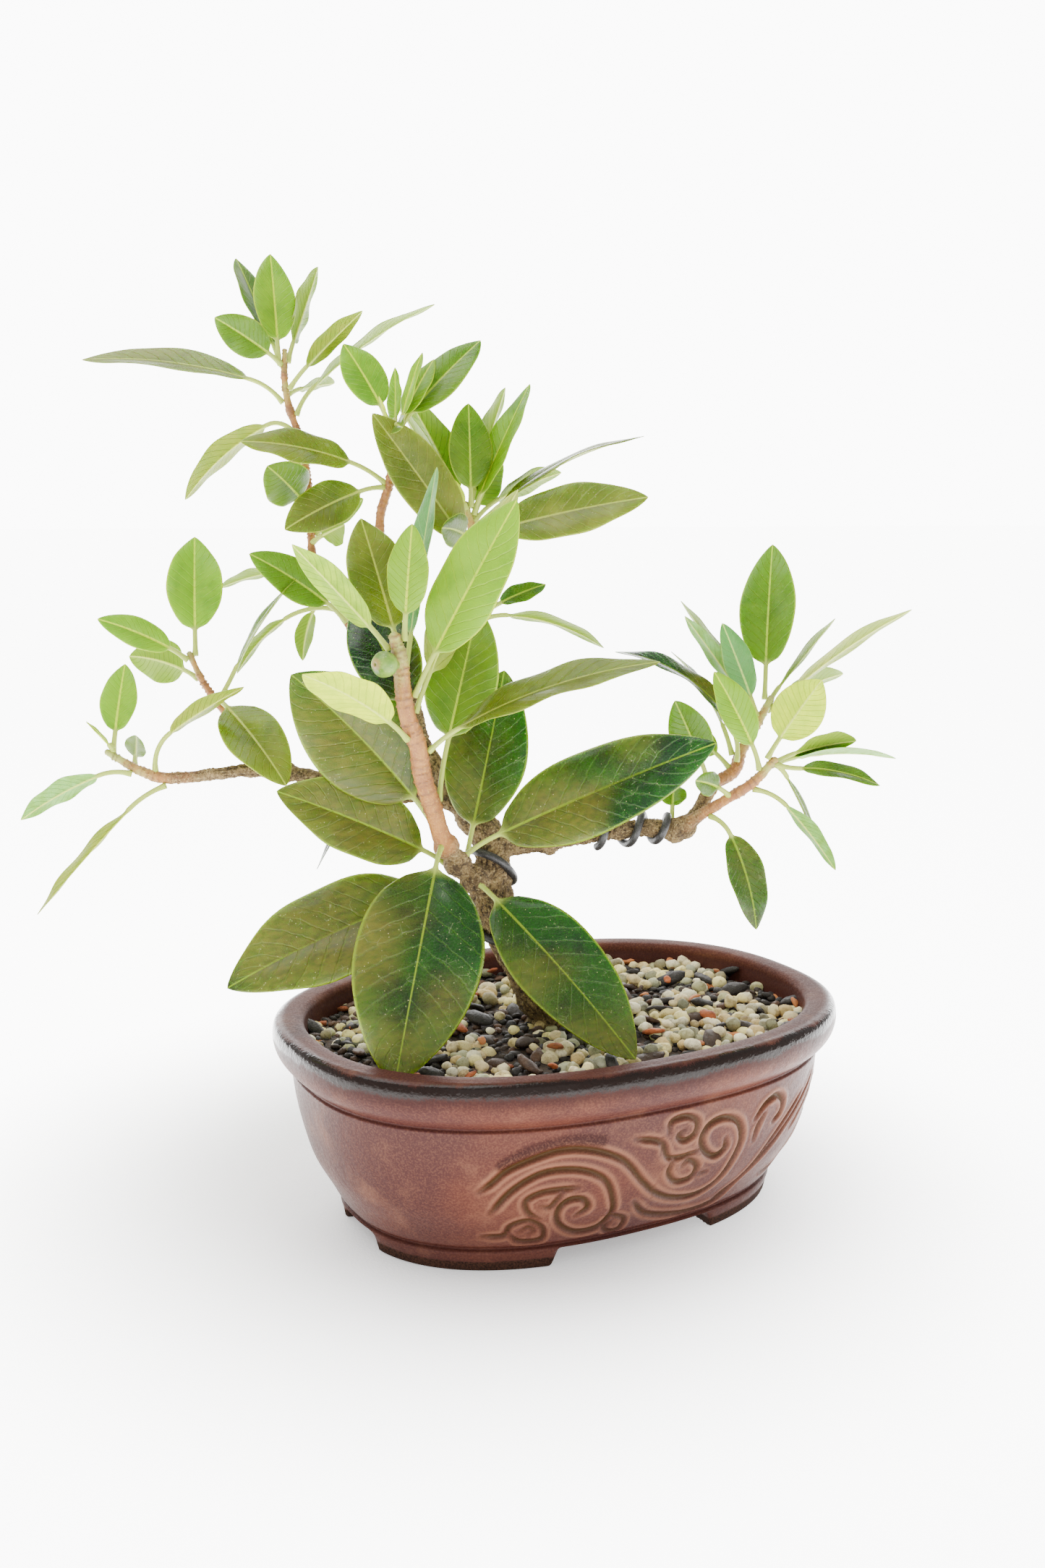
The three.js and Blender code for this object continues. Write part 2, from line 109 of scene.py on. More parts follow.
class BONSAI_PG_wood(bpy.types.PropertyGroup):
    """Trunk, branches and twigs."""
    bark_depth: FloatProperty(
        name="Bark depth", description="Depth of the furrows of old bark, in millimetres", default=0.9, min=0)
    old: colour_of("Old bark", "Rough bark", 136, 112, 70)
    furrow: colour_of("Furrow", "Bottom of the furrows", 52, 37, 22)
    lichen: colour_of("Lichen", "Pale flecks on the bark", 184, 164, 116)
    young: colour_of("Young stem", "Smooth pinkish bark", 160, 106, 40)
    tip: colour_of("Tip", "Green ends of the shoots", 150, 160, 70)


class BONSAI_PG_wire(bpy.types.PropertyGroup):
    """The training wire."""
    radius: FloatProperty(name="Radius", description="Radius of the wire, in millimetres", default=1.4, min=0.3)
    colour: colour_of("Coating", "Dark coating of the wire", 15, 15, 16)


class BONSAI_PG_leaf(bpy.types.PropertyGroup):
    """The leaves."""
    thickness: FloatProperty(
        name="Thickness", description="Thickness of a blade at its middle, in millimetres", default=0.6, min=0.1)
    stalk: FloatProperty(name="Stalk", description="Radius of a stalk, in millimetres", default=0.85, min=0.2)
    fold: FloatProperty(
        name="Fold", description="Rise of the blade from midrib to margin, per millimetre", default=0.3, min=0)
    rib: colour_of("Midrib", "Pale midrib of the undersides", 184, 194, 84)
    stem: colour_of("Leaf stalk", "Yellow-green stalk", 158, 172, 72)


class BONSAI_PG_stage(bpy.types.PropertyGroup):
    """Floor, lights and camera."""
    floor: colour_of("Floor", "Pale cloth under the pot", 244, 243, 240)
    sky: FloatProperty(name="Surround", description="Strength of the soft light from all round", default=1.05, min=0)
    key: FloatProperty(name="Key light", description="Power of the big soft light", default=14, min=0, unit="POWER")
    glow: FloatProperty(name="Backdrop", description="Strength of the bright backdrop behind", default=11, min=0)


# ---- small helpers ------------------------------------------------------------------------------------


def at(x, y, z):
    """A place given in millimetres from the middle of the pot's footprint, in the frame's metres."""
    return POT_MIDDLE + Vector((x, y, z)) * MM


def smooth_step(low, high, value):
    """0 below low, 1 above high, an easy curve between; works on numbers and arrays."""
    share = np.clip((value - low) / (high - low), 0, 1)
    return share * share * (3 - 2 * share)


def new_piece(name, mesh):
    """An object of that mesh, linked to the scene, with its place in its mesh."""
    piece = bpy.data.objects.new(name, mesh)
    bpy.context.scene.collection.objects.link(piece)
    return piece


def mesh_of(name, spots, faces):
    """A smooth-shaded mesh of spots in pot millimetres."""
    mesh = bpy.data.meshes.new(name)
    mesh.from_pydata([at(*spot) for spot in spots], [], faces)
    mesh.shade_smooth()
    return mesh


def give_values(mesh, name, values):
    """Stores one number per vertex under that name."""
    attribute = mesh.attributes.new(name, "FLOAT", "POINT")
    attribute.data.foreach_set("value", np.asarray(values, dtype=np.float32))


def turn_outwards(mesh):
    """Makes the faces of a closed mesh point outwards."""
    shell = bmesh.new()
    shell.from_mesh(mesh)
    bmesh.ops.recalc_face_normals(shell, faces=shell.faces)
    shell.to_mesh(mesh)
    shell.free()


def declare(piece, slot, *nodes):
    """The finished piece rides on the one body and stands for its nodes; the slot is not used."""
    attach(piece, "root")
    if nodes:
        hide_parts(*nodes)
    return piece


def finished(piece):
    """The plain mesh of a piece after its modifiers, which are then gone."""
    graph = bpy.context.evaluated_depsgraph_get()
    mesh = bpy.data.meshes.new_from_object(piece.evaluated_get(graph))
    piece.modifiers.clear()
    old = piece.data
    if piece.type == "MESH":
        piece.data = mesh
        bpy.data.meshes.remove(old)
        return piece
    name = piece.name
    bpy.data.objects.remove(piece)
    return new_piece(name, mesh)


# ---- node trees as Python expressions -------------------------------------------------------------------


class Wire:
    """An output socket that arithmetic can be done on: each operation adds its Math node."""

    def __init__(self, board, socket):
        self.board = board
        self.socket = socket

    def math(self, operation, *others):
        """A Math node on this value and the others."""
        values = dict(enumerate((self, *others)))
        return self.board.node("ShaderNodeMath", {"operation": operation}, values)

    def __add__(self, other):
        return self.math("ADD", other)

    def __radd__(self, other):
        return self.math("ADD", other)

    def __sub__(self, other):
        return self.math("SUBTRACT", other)

    def __rsub__(self, other):
        return self.board.node("ShaderNodeMath", {"operation": "SUBTRACT"}, {0: other, 1: self})

    def __mul__(self, other):
        return self.math("MULTIPLY", other)

    def __rmul__(self, other):
        return self.math("MULTIPLY", other)

    def __abs__(self):
        return self.math("ABSOLUTE")

    def over(self, other):
        """The larger of this and the other."""
        return self.math("MAXIMUM", other)

    def fraction(self):
        """The part after the point."""
        return self.math("FRACT")

    def rise(self, low, high, to_low=0.0, to_high=1.0):
        """An easy step from to_low to to_high as this goes from low to high."""
        return self.board.node("ShaderNodeMapRange", {"interpolation_type": "SMOOTHSTEP"},
                               {0: self, 1: low, 2: high, 3: to_low, 4: to_high})


class Board:
    """A node tree, with one method that adds any node."""

    def __init__(self, tree):
        self.tree = tree
        tree.nodes.clear()

    def place(self, kind, settings=None, sockets=None):
        """Adds a node: settings are set first, then the sockets' values or links."""
        made = self.tree.nodes.new(kind)
        for key, value in (settings or {}).items():
            if key == "stops":
                self.set_stops(made.color_ramp, value)
            else:
                setattr(made, key, value)
        for key, value in (sockets or {}).items():
            if isinstance(value, Wire):
                self.tree.links.new(value.socket, made.inputs[key])
            else:
                made.inputs[key].default_value = value
        return made

    def node(self, kind, settings=None, sockets=None, output=0):
        """Adds a node and gives one of its outputs."""
        return Wire(self, self.place(kind, settings, sockets).outputs[output])

    @staticmethod
    def set_stops(ramp, stops):
        """Gives a colour ramp its stops, each a place and a colour."""
        while len(ramp.elements) > 1:
            ramp.elements.remove(ramp.elements[-1])
        ramp.elements[0].position, ramp.elements[0].color = stops[0]
        for position, colour in stops[1:]:
            ramp.elements.new(position).color = colour


class Finish(Board):
    """The nodes of one material."""

    def __init__(self, name):
        self.material = bpy.data.materials.new(name)
        self.material.use_nodes = True
        super().__init__(self.material.node_tree)
        self.spot = self.node("ShaderNodeTexCoord", output="Object")

    def stretched(self, x, y, z):
        """Object coordinates scaled by its own share along each axis."""
        return self.node("ShaderNodeMapping", {}, {"Vector": self.spot, "Scale": (x, y, z)})

    def cloud(self, scale, detail=2.0, rough=0.5, vector=None):
        """A soft noise from 0 to 1, scale in features per metre."""
        return self.node("ShaderNodeTexNoise", {},
                         {"Vector": vector or self.spot, "Scale": scale, "Detail": detail, "Roughness": rough})

    def cells(self, scale, vector=None, feature="F1"):
        """Distance to the nearest cell of a Voronoi pattern."""
        return self.node("ShaderNodeTexVoronoi", {"feature": feature}, {"Vector": vector or self.spot, "Scale": scale})

    def value(self, name):
        """A number stored on the mesh."""
        return self.node("ShaderNodeAttribute", {"attribute_name": name}, output="Fac")

    def mix(self, share, first, second, blend="MIX"):
        """A colour between first and second."""
        return self.node("ShaderNodeMix", {"data_type": "RGBA", "blend_type": blend},
                         {0: share, 6: first, 7: second}, output=2)

    def ramp(self, share, stops, interpolation="LINEAR"):
        """A colour from a ramp."""
        made = self.place("ShaderNodeValToRGB", {"stops": stops}, {"Fac": share})
        made.color_ramp.interpolation = interpolation
        return Wire(self, made.outputs[0])

    def bump(self, height, distance, strength=1.0):
        """A normal bent by a height given in metres times distance."""
        return self.node("ShaderNodeBump", {}, {"Height": height, "Distance": distance, "Strength": strength})

    def done(self, **sockets):
        """Ends in a Principled shader with these sockets, named with underscores for spaces."""
        named = {key.replace("_", " "): value for key, value in sockets.items()}
        surface = self.node("ShaderNodeBsdfPrincipled", {}, named)
        self.place("ShaderNodeOutputMaterial", {}, {"Surface": surface})
        return self.material


class Recipe(Board):
    """A geometry node tree with named inputs."""

    def __init__(self, name, inputs):
        tree = bpy.data.node_groups.new(name, "GeometryNodeTree")
        super().__init__(tree)
        tree.interface.new_socket(name="Geometry", in_out="INPUT", socket_type="NodeSocketGeometry")
        tree.interface.new_socket(name="Geometry", in_out="OUTPUT", socket_type="NodeSocketGeometry")
        self.keys = {}
        for label, kind in inputs.items():
            socket = tree.interface.new_socket(name=label, in_out="INPUT", socket_type="NodeSocket" + kind)
            self.keys[label] = socket.identifier
        self.start = tree.nodes.new("NodeGroupInput")

    def input(self, label):
        """One of the named inputs."""
        return Wire(self, self.start.outputs[label])

    def random(self, low, high, seed):
        """A random number or vector for each element."""
        kind = "FLOAT_VECTOR" if isinstance(low, tuple) else "FLOAT"
        sockets = {0: low, 1: high} if kind == "FLOAT_VECTOR" else {2: low, 3: high}
        return self.node("FunctionNodeRandomValue", {"data_type": kind}, {**sockets, "Seed": seed},
                         output=0 if kind == "FLOAT_VECTOR" else 1)

    def end(self, geometry):
        """Ends the tree in Realize Instances and Set Material."""
        solid = self.node("GeometryNodeRealizeInstances", {}, {0: geometry})
        painted = self.node("GeometryNodeSetMaterial", {}, {"Geometry": solid, "Material": self.input("Material")})
        self.place("NodeGroupOutput", {}, {0: painted})
        return self

    def run(self, piece, **values):
        """Runs the tree on a piece and leaves a plain mesh."""
        modifier = piece.modifiers.new(self.tree.name, "NODES")
        modifier.node_group = self.tree
        for label, value in values.items():
            modifier[self.keys[label.replace("_", " ")]] = value
        return finished(piece)


# ---- smooth curves ----------------------------------------------------------------------------------------


class Curve:
    """A centripetal Catmull-Rom curve through its knots; 0 is its start and 1 its end."""

    def __init__(self, knots):
        self.knots = [Vector(knot) for knot in knots]

    def point(self, share):
        """The place at that share of the knots."""
        knots = self.knots
        last = len(knots) - 1
        reach = min(max(share, 0.0), 1.0) * last
        begin = min(int(reach), last - 1)
        part = reach - begin
        first, second = knots[begin], knots[begin + 1]
        before = knots[begin - 1] if begin > 0 else first * 2 - second
        after = knots[begin + 2] if begin + 2 <= last else second * 2 - first
        gap = math.sqrt((second - first).length)
        gap_before = math.sqrt((first - before).length)
        gap_after = math.sqrt((after - second).length)
        leave = ((first - before) / gap_before - (second - before) / (gap_before + gap)
                 + (second - first) / gap) * gap
        arrive = ((second - first) / gap - (after - first) / (gap + gap_after)
                  + (after - second) / gap_after) * gap
        square = part * part
        cube = square * part
        return (first + leave * part + ((second - first) * 3 - leave * 2 - arrive) * square
                + ((first - second) * 2 + leave + arrive) * cube)

    def ahead(self, share):
        """The unit direction of travel there."""
        return (self.point(min(share + 1e-4, 1)) - self.point(max(share - 1e-4, 0))).normalized()

    def samples(self, spacing):
        """Shares along the curve that are about that far apart, ends included."""
        steps = 12 * (len(self.knots) - 1)
        shares = [step / steps for step in range(steps + 1)]
        spots = [self.point(share) for share in shares]
        lengths = [0.0]
        for one, two in zip(spots, spots[1:]):
            lengths.append(lengths[-1] + (two - one).length)
        count = max(2, round(lengths[-1] / spacing))
        return list(np.interp(np.linspace(0, lengths[-1], count + 1), lengths, shares))


# ---- the oval of the pot ------------------------------------------------------------------------------------


def oval_spot(inset, angle):
    """x and y on the pot's outline, moved in by the inset. Works on arrays of angles."""
    power = 2 / SQUARENESS
    cosine, sine = np.cos(angle), np.sin(angle)
    x = (POT_SIZE.x / 2 - inset) * np.sign(cosine) * np.abs(cosine) ** power
    y = (POT_SIZE.y / 2 - inset) * np.sign(sine) * np.abs(sine) ** power
    return x, y


BELLY_INSET = 8
TURN = np.linspace(-math.pi / 2, math.pi * 1.5, 8001)
TURN_X, TURN_Y = oval_spot(BELLY_INSET, TURN)
TURN_WAY = np.concatenate([[0], np.cumsum(np.hypot(np.diff(TURN_X), np.diff(TURN_Y)))])
ROUND = float(TURN_WAY[-1])


def columns(fine, coarse, dense_stretches):
    """Angles round the oval, close together over the dense stretches given in millimetres from the front middle."""
    ways = []
    way = 0.0
    while way < ROUND - coarse / 2:
        ways.append(way)
        near = any(low <= way < high or low <= way - ROUND < high for low, high in dense_stretches)
        way += fine if near else coarse
    return np.interp(ways, TURN_WAY, TURN), np.array(ways)


def rows(profile):
    """Insets and heights of a smooth profile whose points are [inset, height, spacing up to the next]."""
    curve = Curve([(inset, height, 0) for inset, height, _ in profile])
    last = len(profile) - 1
    spots = []
    for begin, (point, following) in enumerate(zip(profile, profile[1:])):
        reach = math.hypot(following[0] - point[0], following[1] - point[1])
        count = max(1, round(reach / point[2]))
        spots += [curve.point((begin + step / count) / last) for step in range(count)]
    spots.append(curve.point(1.0))
    return [(spot.x, spot.y) for spot in spots]


def loft_faces(row_count, column_count):
    """Quads between closed rows of vertices."""
    faces = []
    for row in range(row_count - 1):
        for column in range(column_count):
            after = (column + 1) % column_count
            low, high = row * column_count, (row + 1) * column_count
            faces.append((low + column, low + after, high + after, high + column))
    return faces


# ---- pot --------------------------------------------------------------------------------------------------------

# [inset from the outline of the lip, height, spacing up to the next], from under the floor to inside.
POT_PROFILE = [
    [50, 6.5, 6], [36, 6.5, 2], [34.2, 5.6, 1.2], [33.7, 3, 1.2], [33.5, 1, 0.6], [32.6, 0, 1.6],
    [24.2, 0, 0.5], [23.1, 0.7, 0.8], [22.4, 3.8, 0.8], [21.6, 6.9, 0.4], [21.9, 7.5, 0.35], [22.7, 8.2, 0.35],
    [22.2, 9, 0.4], [21.2, 9.7, 0.66], [17.6, 16, 0.66], [12.6, 25, 0.66], [9.5, 35, 0.66], [7.3, 45, 0.66],
    [6.3, 53.2, 0.4], [6.3, 54.2, 0.35], [7, 55, 0.35], [6.6, 55.9, 0.4], [4.9, 57.2, 0.6], [2.6, 59.3, 0.7],
    [0.8, 62.3, 0.8], [0, 66, 0.8], [0.2, 69.2, 0.5], [1, 71, 0.5], [2.6, 71.9, 0.6], [4, 72, 0.9],
    [7.4, 71.9, 0.6], [9.3, 71.5, 0.5], [10.4, 70.4, 0.6], [10.8, 68.6, 1], [11.4, 66, 2],
    [13.2, 53.5, 4], [14.3, 45, 5], [16.5, 35, 5], [19.6, 25, 4], [26, 14.4, 3], [31, 12.6, 4], [50, 12.5, 4],
]

# Scroll lines of the decoration: [distance round the pot from its front middle, height]. A line of
# weight 1 is cut to the full depth; the last number of a line is its weight.
SCROLLS = [
    ([(-63, 33.5), (-59, 36.5), (-54, 41), (-45, 45), (-36, 47), (-26, 45.5), (-15, 40), (-6, 30), (0, 24.5),
      (9, 20), (20, 18.5), (27, 21.5), (31.5, 29), (33.5, 37), (30, 44.5), (23, 47.5), (17, 46), (15, 41.5),
      (17.5, 36.5), (23, 33.5), (26.5, 36), (25.5, 39.5)], 1),
    ([(-60, 25), (-52, 34), (-42, 39.5), (-30, 39), (-21, 34), (-17, 26), (-16, 20), (-20, 14), (-30, 13.5),
      (-36.5, 19), (-36.5, 25), (-33, 28), (-28, 27.5), (-26, 24), (-30, 21)], 1),
    ([(-30, 32.5), (-43, 32), (-48, 29), (-47, 24.5), (-43, 21.5)], 0.9),
    ([(-43, 27), (-40, 26), (-37.5, 28.5), (-35.5, 31.5)], 0.8),
    ([(-64.5, 14.5), (-56, 15), (-53.5, 19), (-47, 21), (-42, 17), (-42, 12.3), (-51, 12), (-54.5, 15.5)], 0.9),
    ([(-50.5, 16), (-47, 18), (-45, 16), (-47, 15)], 0.7),
    ([(-17, 19.5), (-14, 17.5), (-9.5, 15), (-10.5, 11), (-14.5, 10.3), (-17.5, 13), (-15, 15)], 0.8),
    ([(-8, 22.5), (-1.5, 16), (14, 11.5), (27, 10.8), (36, 13), (43, 20), (50, 29), (58, 37), (68, 45)], 0.9),
    ([(33, 13), (41, 18), (50, 26), (61, 35), (72, 44), (79, 50)], 0.8),
    ([(-11, 47), (-1, 43.5), (2.5, 37.5), (8.5, 36.5), (14.5, 37.5)], 0.9),
    ([(1.5, 46.5), (2, 50.3), (7.5, 51.3), (12, 48.8), (11.8, 44.5), (7.8, 42.6), (5.2, 44.8), (7.5, 46.5)], 0.9),
    ([(4.5, 36), (4, 31), (8, 27), (14, 27.5), (15.3, 31.5), (11, 34.5), (8.8, 32.6)], 0.9),
    ([(17, 28), (20.5, 28)], 0.8),
    ([(40.5, 34.5), (41, 40), (43.5, 44)], 0.9),
    ([(38.5, 43), (43, 47.5), (49, 49), (53, 46), (53, 42), (49.5, 39)], 1),
    ([(66, 31), (75, 39), (86, 48)], 0.8),
    ([(80, 36), (84, 41.5), (90, 43), (93, 39), (90, 34.5), (85, 34)], 1),
    ([(92, 50), (98, 48), (99, 42), (95, 39)], 0.9),
    ([(72, 20), (80, 27), (90, 31), (98, 29), (100, 23), (95, 20), (91, 23)], 1),
    ([(60, 15), (70, 15.5), (82, 21)], 0.8),
]
POOLED = [(-55, 43), (-49.5, 46.3), (-44, 48.3), (-33, 50), (-23, 48.5)]
DENSE_FRONT = (-68, 104)


def cut_samples(lines, spacing=0.45):
    """Close points on the lines as a search tree, and the weight of each, less near a line's ends."""
    spots = []
    weights = []
    for line, weight in lines:
        curve = Curve([(way, height, 0) for way, height in line])
        points = [curve.point(share) for share in curve.samples(spacing)]
        for index, point in enumerate(points):
            from_end = min(index, len(points) - 1 - index) * spacing
            spots.append(point)
            weights.append(weight * (0.35 + 0.65 * min(1, from_end / 4)))
    tree = kdtree.KDTree(len(spots))
    for index, spot in enumerate(spots):
        tree.insert(spot, index)
    tree.balance()
    return tree, weights


def pot_shell(settings):
    """The pot as lofted rows: vertices, faces and the numbers that its glaze follows."""
    dense = [DENSE_FRONT, tuple(ROUND / 2 + end for end in DENSE_FRONT)]
    angles, ways = columns(0.8, 2.6, dense)
    profile = rows(POT_PROFILE)
    heights = np.array([height for _, height in profile])
    insets = np.array([inset for inset, _ in profile])
    lengths = np.concatenate([[0], np.cumsum(np.hypot(np.diff(insets), np.diff(heights)))])
    edge = lengths[int(np.argmax(heights > 70))]
    scroll_tree, scroll_weights = cut_samples(SCROLLS)
    pool_tree, _ = cut_samples([(POOLED, 1)])
    half = settings.scroll_width / 2
    spots = []
    band = []
    scroll = []
    shoulder = []
    pooled = []
    facing = (ways + ROUND / 4) % (ROUND / 2) - ROUND / 4
    facing = np.where(facing < DENSE_FRONT[0], facing + ROUND / 2, facing)
    for row, (inset, height) in enumerate(profile):
        outside = 9 < height < 54 and inset < 24 and lengths[row] < edge
        depths = np.zeros(len(ways))
        marks = np.zeros((3, len(ways)))
        if outside:
            for column, way in enumerate(facing):
                if not DENSE_FRONT[0] < way < DENSE_FRONT[1]:
                    continue
                _, index, gap = scroll_tree.find(Vector((way, height, 0)))
                if gap < half * 3:
                    weight = scroll_weights[index]
                    reach = half * (0.55 + 0.45 * weight)
                    groove = 1 - smooth_step(0.25 * reach, 1.15 * reach, gap)
                    swell = math.exp(-((gap - 1.75 * reach) / (0.55 * reach)) ** 2)
                    depths[column] = settings.scroll_depth * weight * (groove - 0.3 * swell)
                    marks[0, column] = groove * weight
                    marks[1, column] = swell * weight
                gap = pool_tree.find(Vector((way, height, 0)))[2]
                marks[2, column] = (1 - smooth_step(1.2, 3.2, gap)) * (ways[column] < ROUND / 4 or ways[column] > ROUND * 3 / 4)
        x, y = oval_spot(inset + depths, angles)
        lift = np.maximum(1 - smooth_step(28.5, 32, np.abs(x)), 1 - smooth_step(11.5, 15, np.abs(y)))
        z = np.full(len(x), height)
        if height < 7.2 and inset < 35:
            z = height + lift * (FOOT_HEIGHT + 0.4) * (1 - height / 7.2)
        spots += list(zip(x, y, np.maximum(z, 0)))
        band += [lengths[row] - edge] * len(ways)
        scroll += list(marks[0])
        shoulder += list(marks[1])
        pooled += list(marks[2])
    return spots, loft_faces(len(profile), len(ways)), len(ways), {
        "band": band, "scroll": scroll, "shoulder": shoulder, "pooled": pooled}


def close_floor(mesh, column_count, row_count):
    """Fills the floor between its first and last row, with the two drain holes through it."""
    shell = bmesh.new()
    shell.from_mesh(mesh)
    shell.verts.ensure_lookup_table()
    corners = list(shell.verts)
    rims = []
    for row, height in ((0, 6.5), (row_count - 1, 12.5)):
        edges = []
        start = row * column_count
        outline = corners[start:start + column_count]
        for one, two in zip(outline, outline[1:] + outline[:1]):
            edges.append(shell.edges.get((one, two)) or shell.edges.new((one, two)))
        for side in (-42, 42):
            ring = []
            for step in range(32):
                angle = math.tau * step / 32
                ring.append(shell.verts.new(at(side + 6.5 * math.cos(angle), 6.5 * math.sin(angle), height)))
            edges += [shell.edges.new(pair) for pair in zip(ring, ring[1:] + ring[:1])]
            rims.append(ring)
        bmesh.ops.triangle_fill(shell, use_beauty=True, edges=edges)
    for low, high in ((rims[0], rims[2]), (rims[1], rims[3])):
        for step in range(32):
            after = (step + 1) % 32
            shell.faces.new((low[step], low[after], high[after], high[step]))
    bmesh.ops.recalc_face_normals(shell, faces=shell.faces)
    shell.to_mesh(mesh)
    shell.free()
    mesh.shade_smooth()


def glaze_finish(settings):
    """Mauve-brown glaze that breaks blue-black on the lip and pools olive in the scroll lines, with painted shade in
    its grooves and low on its belly, and a painted highlight on the ridges beside the scroll lines.
    """
    paint = Finish("mauve_brown_glaze")
    height = paint.node("ShaderNodeSeparateXYZ", {}, {0: paint.spot}, output=2) * 1000
    drift = paint.cloud(22, 3, 0.55)
    wander = paint.cloud(55, 4, 0.6)
    grain = paint.cloud(1500, 2, 0.6)
    speck = paint.cells(620)
    band = paint.value("band")
    body = paint.mix(drift.rise(0.36, 0.64), settings.glaze, settings.mauve)
    body = paint.mix(wander.rise(0.5, 0.78, 0, 0.45), body, settings.blush)
    body = paint.mix(grain.rise(0.42, 0.68, 0, 0.26), body, settings.mauve)
    body = paint.mix(grain.rise(0.6, 0.3, 0, 0.22), body, settings.blush)
    # Painted highlight: the raised ridge beside each scroll line is paled toward the blush colour.
    body = paint.mix(paint.value("shoulder") * 0.8, body, settings.blush)
    body = paint.mix(paint.value("pooled") * grain.rise(0.3, 0.6, 0.55, 0.9), body, settings.red)
    body = paint.mix(paint.value("scroll") * 0.95, body, settings.olive)
    # Painted shade: the groove under the lip and the groove above the feet are darkened toward iron red.
    shade = height.rise(53.6, 55, 0, 1) * height.rise(56.6, 55.2, 0, 1)
    low_groove = height.rise(7, 8, 0, 1) * height.rise(9.4, 8.4, 0, 1)
    body = paint.mix((shade + low_groove) * 0.45, body, settings.red)
    # Painted shade: the lower belly turns darker toward mauve, most near the feet.
    body = paint.mix(height.rise(24, 8, 0, 0.3), body, settings.mauve)
    ragged = band + (wander - 0.5) * 5 + (grain - 0.5) * 2.4 + (drift - 0.5) * 4
    red_mask = ragged.rise(-8.5, -3.2, 0, 1) * ragged.rise(4.2, -1.5, 0, 1)
    body = paint.mix(red_mask * 0.8, body, settings.red)
    black_mask = ragged.rise(-3.6, -1.8, 0, 1) * ragged.rise(2.6, 1.0, 0, 1)
    body = paint.mix(black_mask, body, settings.breaking)
    inside = band.rise(11.5, 13.5, 0, 1)
    body = paint.mix(inside * 0.7, body, settings.mauve)
    body = paint.mix(speck.rise(0.12, 0.04, 0, 0.5) * wander.rise(0.5, 0.6), body, settings.red)
    bare = (height + (wander - 0.5) * 1.6 + (grain - 0.5) * 0.8).rise(4.2, 3.3, 0, 1)
    body = paint.mix(bare, body, paint.mix(grain.rise(0.3, 0.7), settings.clay, tone(60, 38, 28)))
    rough = (grain.rise(0.3, 0.7, 0.3, 0.42) + band.rise(2, 5, 0, 0.3) * band.rise(14, 10, 0, 1) + bare * 0.45 + paint.value("scroll") * 0.12) - black_mask * 0.22
    relief = (grain - 0.5) * 0.10 + (paint.cloud(330, 3) - 0.5) * 0.35 + black_mask * (paint.cloud(700, 2) - 0.5) * 0.5
    return paint.done(Base_Color=body, Roughness=rough, Normal=paint.bump(relief, 0.001, 0.55),
                      Specular_IOR_Level=0.08, Coat_Weight=black_mask * 0.25, Coat_Roughness=0.08, Coat_IOR=1.4)


class BONSAI_OT_pot(bpy.types.Operator):
    """Makes the glazed pot with its lip, scroll lines, feet and drain holes"""
    bl_idname = "bonsai.pot"
    bl_label = "Pot"

    def execute(self, context):
        settings = context.scene.bonsai_pot
        spots, faces, column_count, numbers = pot_shell(settings)
        mesh = mesh_of("pot_glazed", spots, faces)
        for name, values in numbers.items():
            give_values(mesh, name, values)
        close_floor(mesh, column_count, len(spots) // column_count)
        mesh.materials.append(glaze_finish(settings))
        declare(new_piece("pot_glazed", mesh), "glaze", "pot")
        return {"FINISHED"}


# ---- grit ---------------------------------------------------------------------------------------------------------


def mound_height(x, y):
    """Height of the bed of grit: a low mound, a little uneven."""
    reach = math.hypot(x / (POT_SIZE.x / 2 - 12), y / (POT_SIZE.y / 2 - 12))
    swell = GRIT_DOME * 0.8 * (1 - smooth_step(0.35, 1.0, reach))
    return GRIT_LEVEL - 1.6 + swell + 0.8 * noise.noise(Vector((x, y, 0)) * 0.06)


def grit_bed():
    """The closed bed of grit, and the skin of its top that the grains are strewn on."""
    angles, ways = columns(4, 4, [])
    side = [(31.5, 12.8), (27, 14.6), (20, 25), (17, 35), (14.8, 45), (13.6, 54), (12, 64)]
    inner = [12 + step * 3.4 for step in range(1, 18)]
    spots = []
    for inset, height in side:
        x, y = oval_spot(inset, angles)
        spots += [(*spot, min(height, mound_height(*spot))) for spot in zip(x, y)]
    for inset in inner:
        x, y = oval_spot(inset, angles)
        spots += [(*spot, mound_height(*spot)) for spot in zip(x, y)]
    count = len(ways)
    faces = loft_faces(len(side) + len(inner), count)
    last = len(spots) - count
    faces.append([last + column for column in range(count)])
    faces.append([column for column in reversed(range(count))])
    bed = mesh_of("grit_bed", spots, faces)
    turn_outwards(bed)
    start = (len(side) - 1) * count
    top = mesh_of("grit_skin", spots[start:], [[corner - start for corner in face] for face in faces[:-1]
                                               if min(face) >= start])
    turn_outwards(top)
    return bed, top


